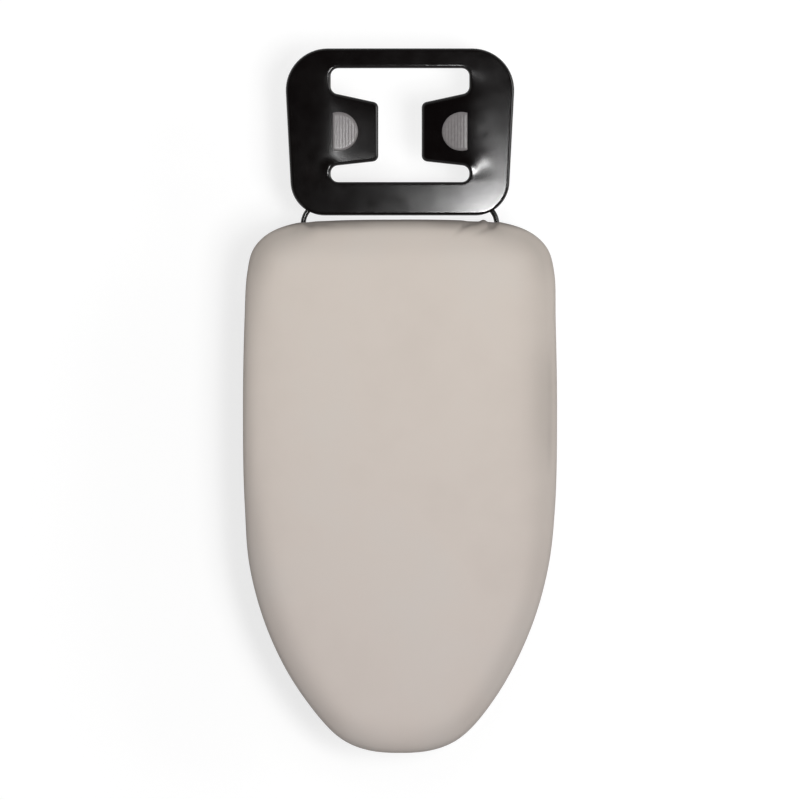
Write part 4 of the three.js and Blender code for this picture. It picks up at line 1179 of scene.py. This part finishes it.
rim_x, rim_y = rim_loops[-1].T
at_rods = (np.abs(np.abs(rim_x) - (ROD_HALF + HOOP_HALF) / 2) < NOTCH_HALF) & (rim_y < NOTCH_END)
add_rings(rim_loops, [0] * len(RIM_MARGIN) + roll_drops + [4.5, 20], at_rods)
add_rings(lip_loops, [0] * len(LIP_MARGIN) + roll_drops + [3.8])
plate_points = np.array(plate_points) + (0, PLATE_Y, PLATE_Z)
plate = settle("rest_plate_pressing", plate_points, plate_faces, "black_enamel", stands_for=["rest_plate"])
thickened(plate, "sheet", PLATE_SHEET)
print("plate", len(plate.data.vertices), "points")

# %% [markdown]
# Four straps hold the hoop to the plate. Their feet are drawn up to the underside of the pressing, which
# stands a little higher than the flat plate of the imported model.

# %% Straps seated under the plate
BAND_THICK = 1.2
saddles = [f"rest_saddle_{end}_{hand}" for hand in HANDS for end in ("side", "far")]
straps = [softened(name, "black_enamel", 0.25) for name in saddles]
for strap in straps:
    for vertex in strap.data.vertices:
        x, y, z = vertex.co / MM
        underside = PLATE_Z + plate_height(x, y - PLATE_Y) - PLATE_SHEET
        share_up = ramp(z, ROD_Z, ROD_Z + ROD_RADIUS - BAND_THICK)
        vertex.co.z += share_up * (underside - ROD_Z - ROD_RADIUS) * MM
print("strap feet at", [round(max(v.co.z for v in strap.data.vertices) / MM, 2) for strap in straps])

# %% [markdown]
# ## Heat pads
# A D-shaped pad of ribbed silicone lies on each tab, straight along the crease. Like the plate, it is a
# height over a flat cut: rounded at the edge, with ribs about three millimetres apart.

# %% Flat cut of the pads
PAD_RADIUS, PAD_IN = 20.5, 6.3
lean = math.acos(PAD_IN / PAD_RADIUS)
turns = np.linspace(lean, 2 * math.pi - lean, 61)
pad_arc = [(-PAD_IN + PAD_RADIUS * math.cos(a), PAD_RADIUS * math.sin(a)) for a in turns]
pad_loop = refined(np.array(pad_arc), 1.5)
pad_grid = np.stack(np.meshgrid(np.arange(-26.6, 0, 0.4), np.arange(-20, 20.1, 1.6)), -1).reshape(-1, 2)
pad_grid = pad_grid[within(pad_loop * 0.985 - (0.15, 0), pad_grid)]
pad_flat, pad_faces = cut_sheet([pad_loop], pad_grid)
print("pad cut", len(pad_flat), "points")

# %% Ribbed pads
PAD_THICK, RIB_RISE, RIB_PITCH, EDGE_ROUND, PAD_GAP, PAD_BACK = 2.4, 0.1, 3.2, 1.2, 0.02, 0.6
pad_middle = (TAB_NEAR + TAB_FAR) / 2
to_edge = np.min(np.linalg.norm(pad_flat[:, None] - refined(pad_loop, 0.5)[None], axis=2), axis=1)
edge_round = np.sqrt(ramp(to_edge, 0, EDGE_ROUND))
ribs = 0.5 + 0.5 * np.cos(2 * math.pi * pad_flat[:, 0] / RIB_PITCH)
ribs *= RIB_RISE * ramp(to_edge, 1, 2.2)
pad_high = PAD_THICK * (0.5 + 0.5 * edge_round) - RIB_RISE + ribs
pad_count = len(pad_flat)
pad_border = [int(np.argmin(np.linalg.norm(pad_flat - p, axis=1))) for p in pad_loop]
pad_steps = zip(pad_border, pad_border[1:] + pad_border[:1])
pad_sides = [(a, b, b + pad_count, a + pad_count) for a, b in pad_steps]
pad_faces = pad_faces + shifted([face[::-1] for face in pad_faces], pad_count) + pad_sides


def pad_piece(hand, side):
    x, y = side * (CREASE - PAD_BACK + pad_flat[:, 0]), pad_middle + side * pad_flat[:, 1]
    base = plate_height(x, y) + PAD_GAP + PLATE_Z
    points = np.vstack([np.column_stack([x, y + PLATE_Y, z]) for z in (base + pad_high, base)])
    pad_name = f"rest_pad_{hand}"
    return settle(pad_name + "_ribbed", points, pad_faces, "rest_silicone", stands_for=[pad_name])


pads = [pad_piece(*hand) for hand in HANDS.items()]
print("pads", [len(pad.data.vertices) for pad in pads], "points")
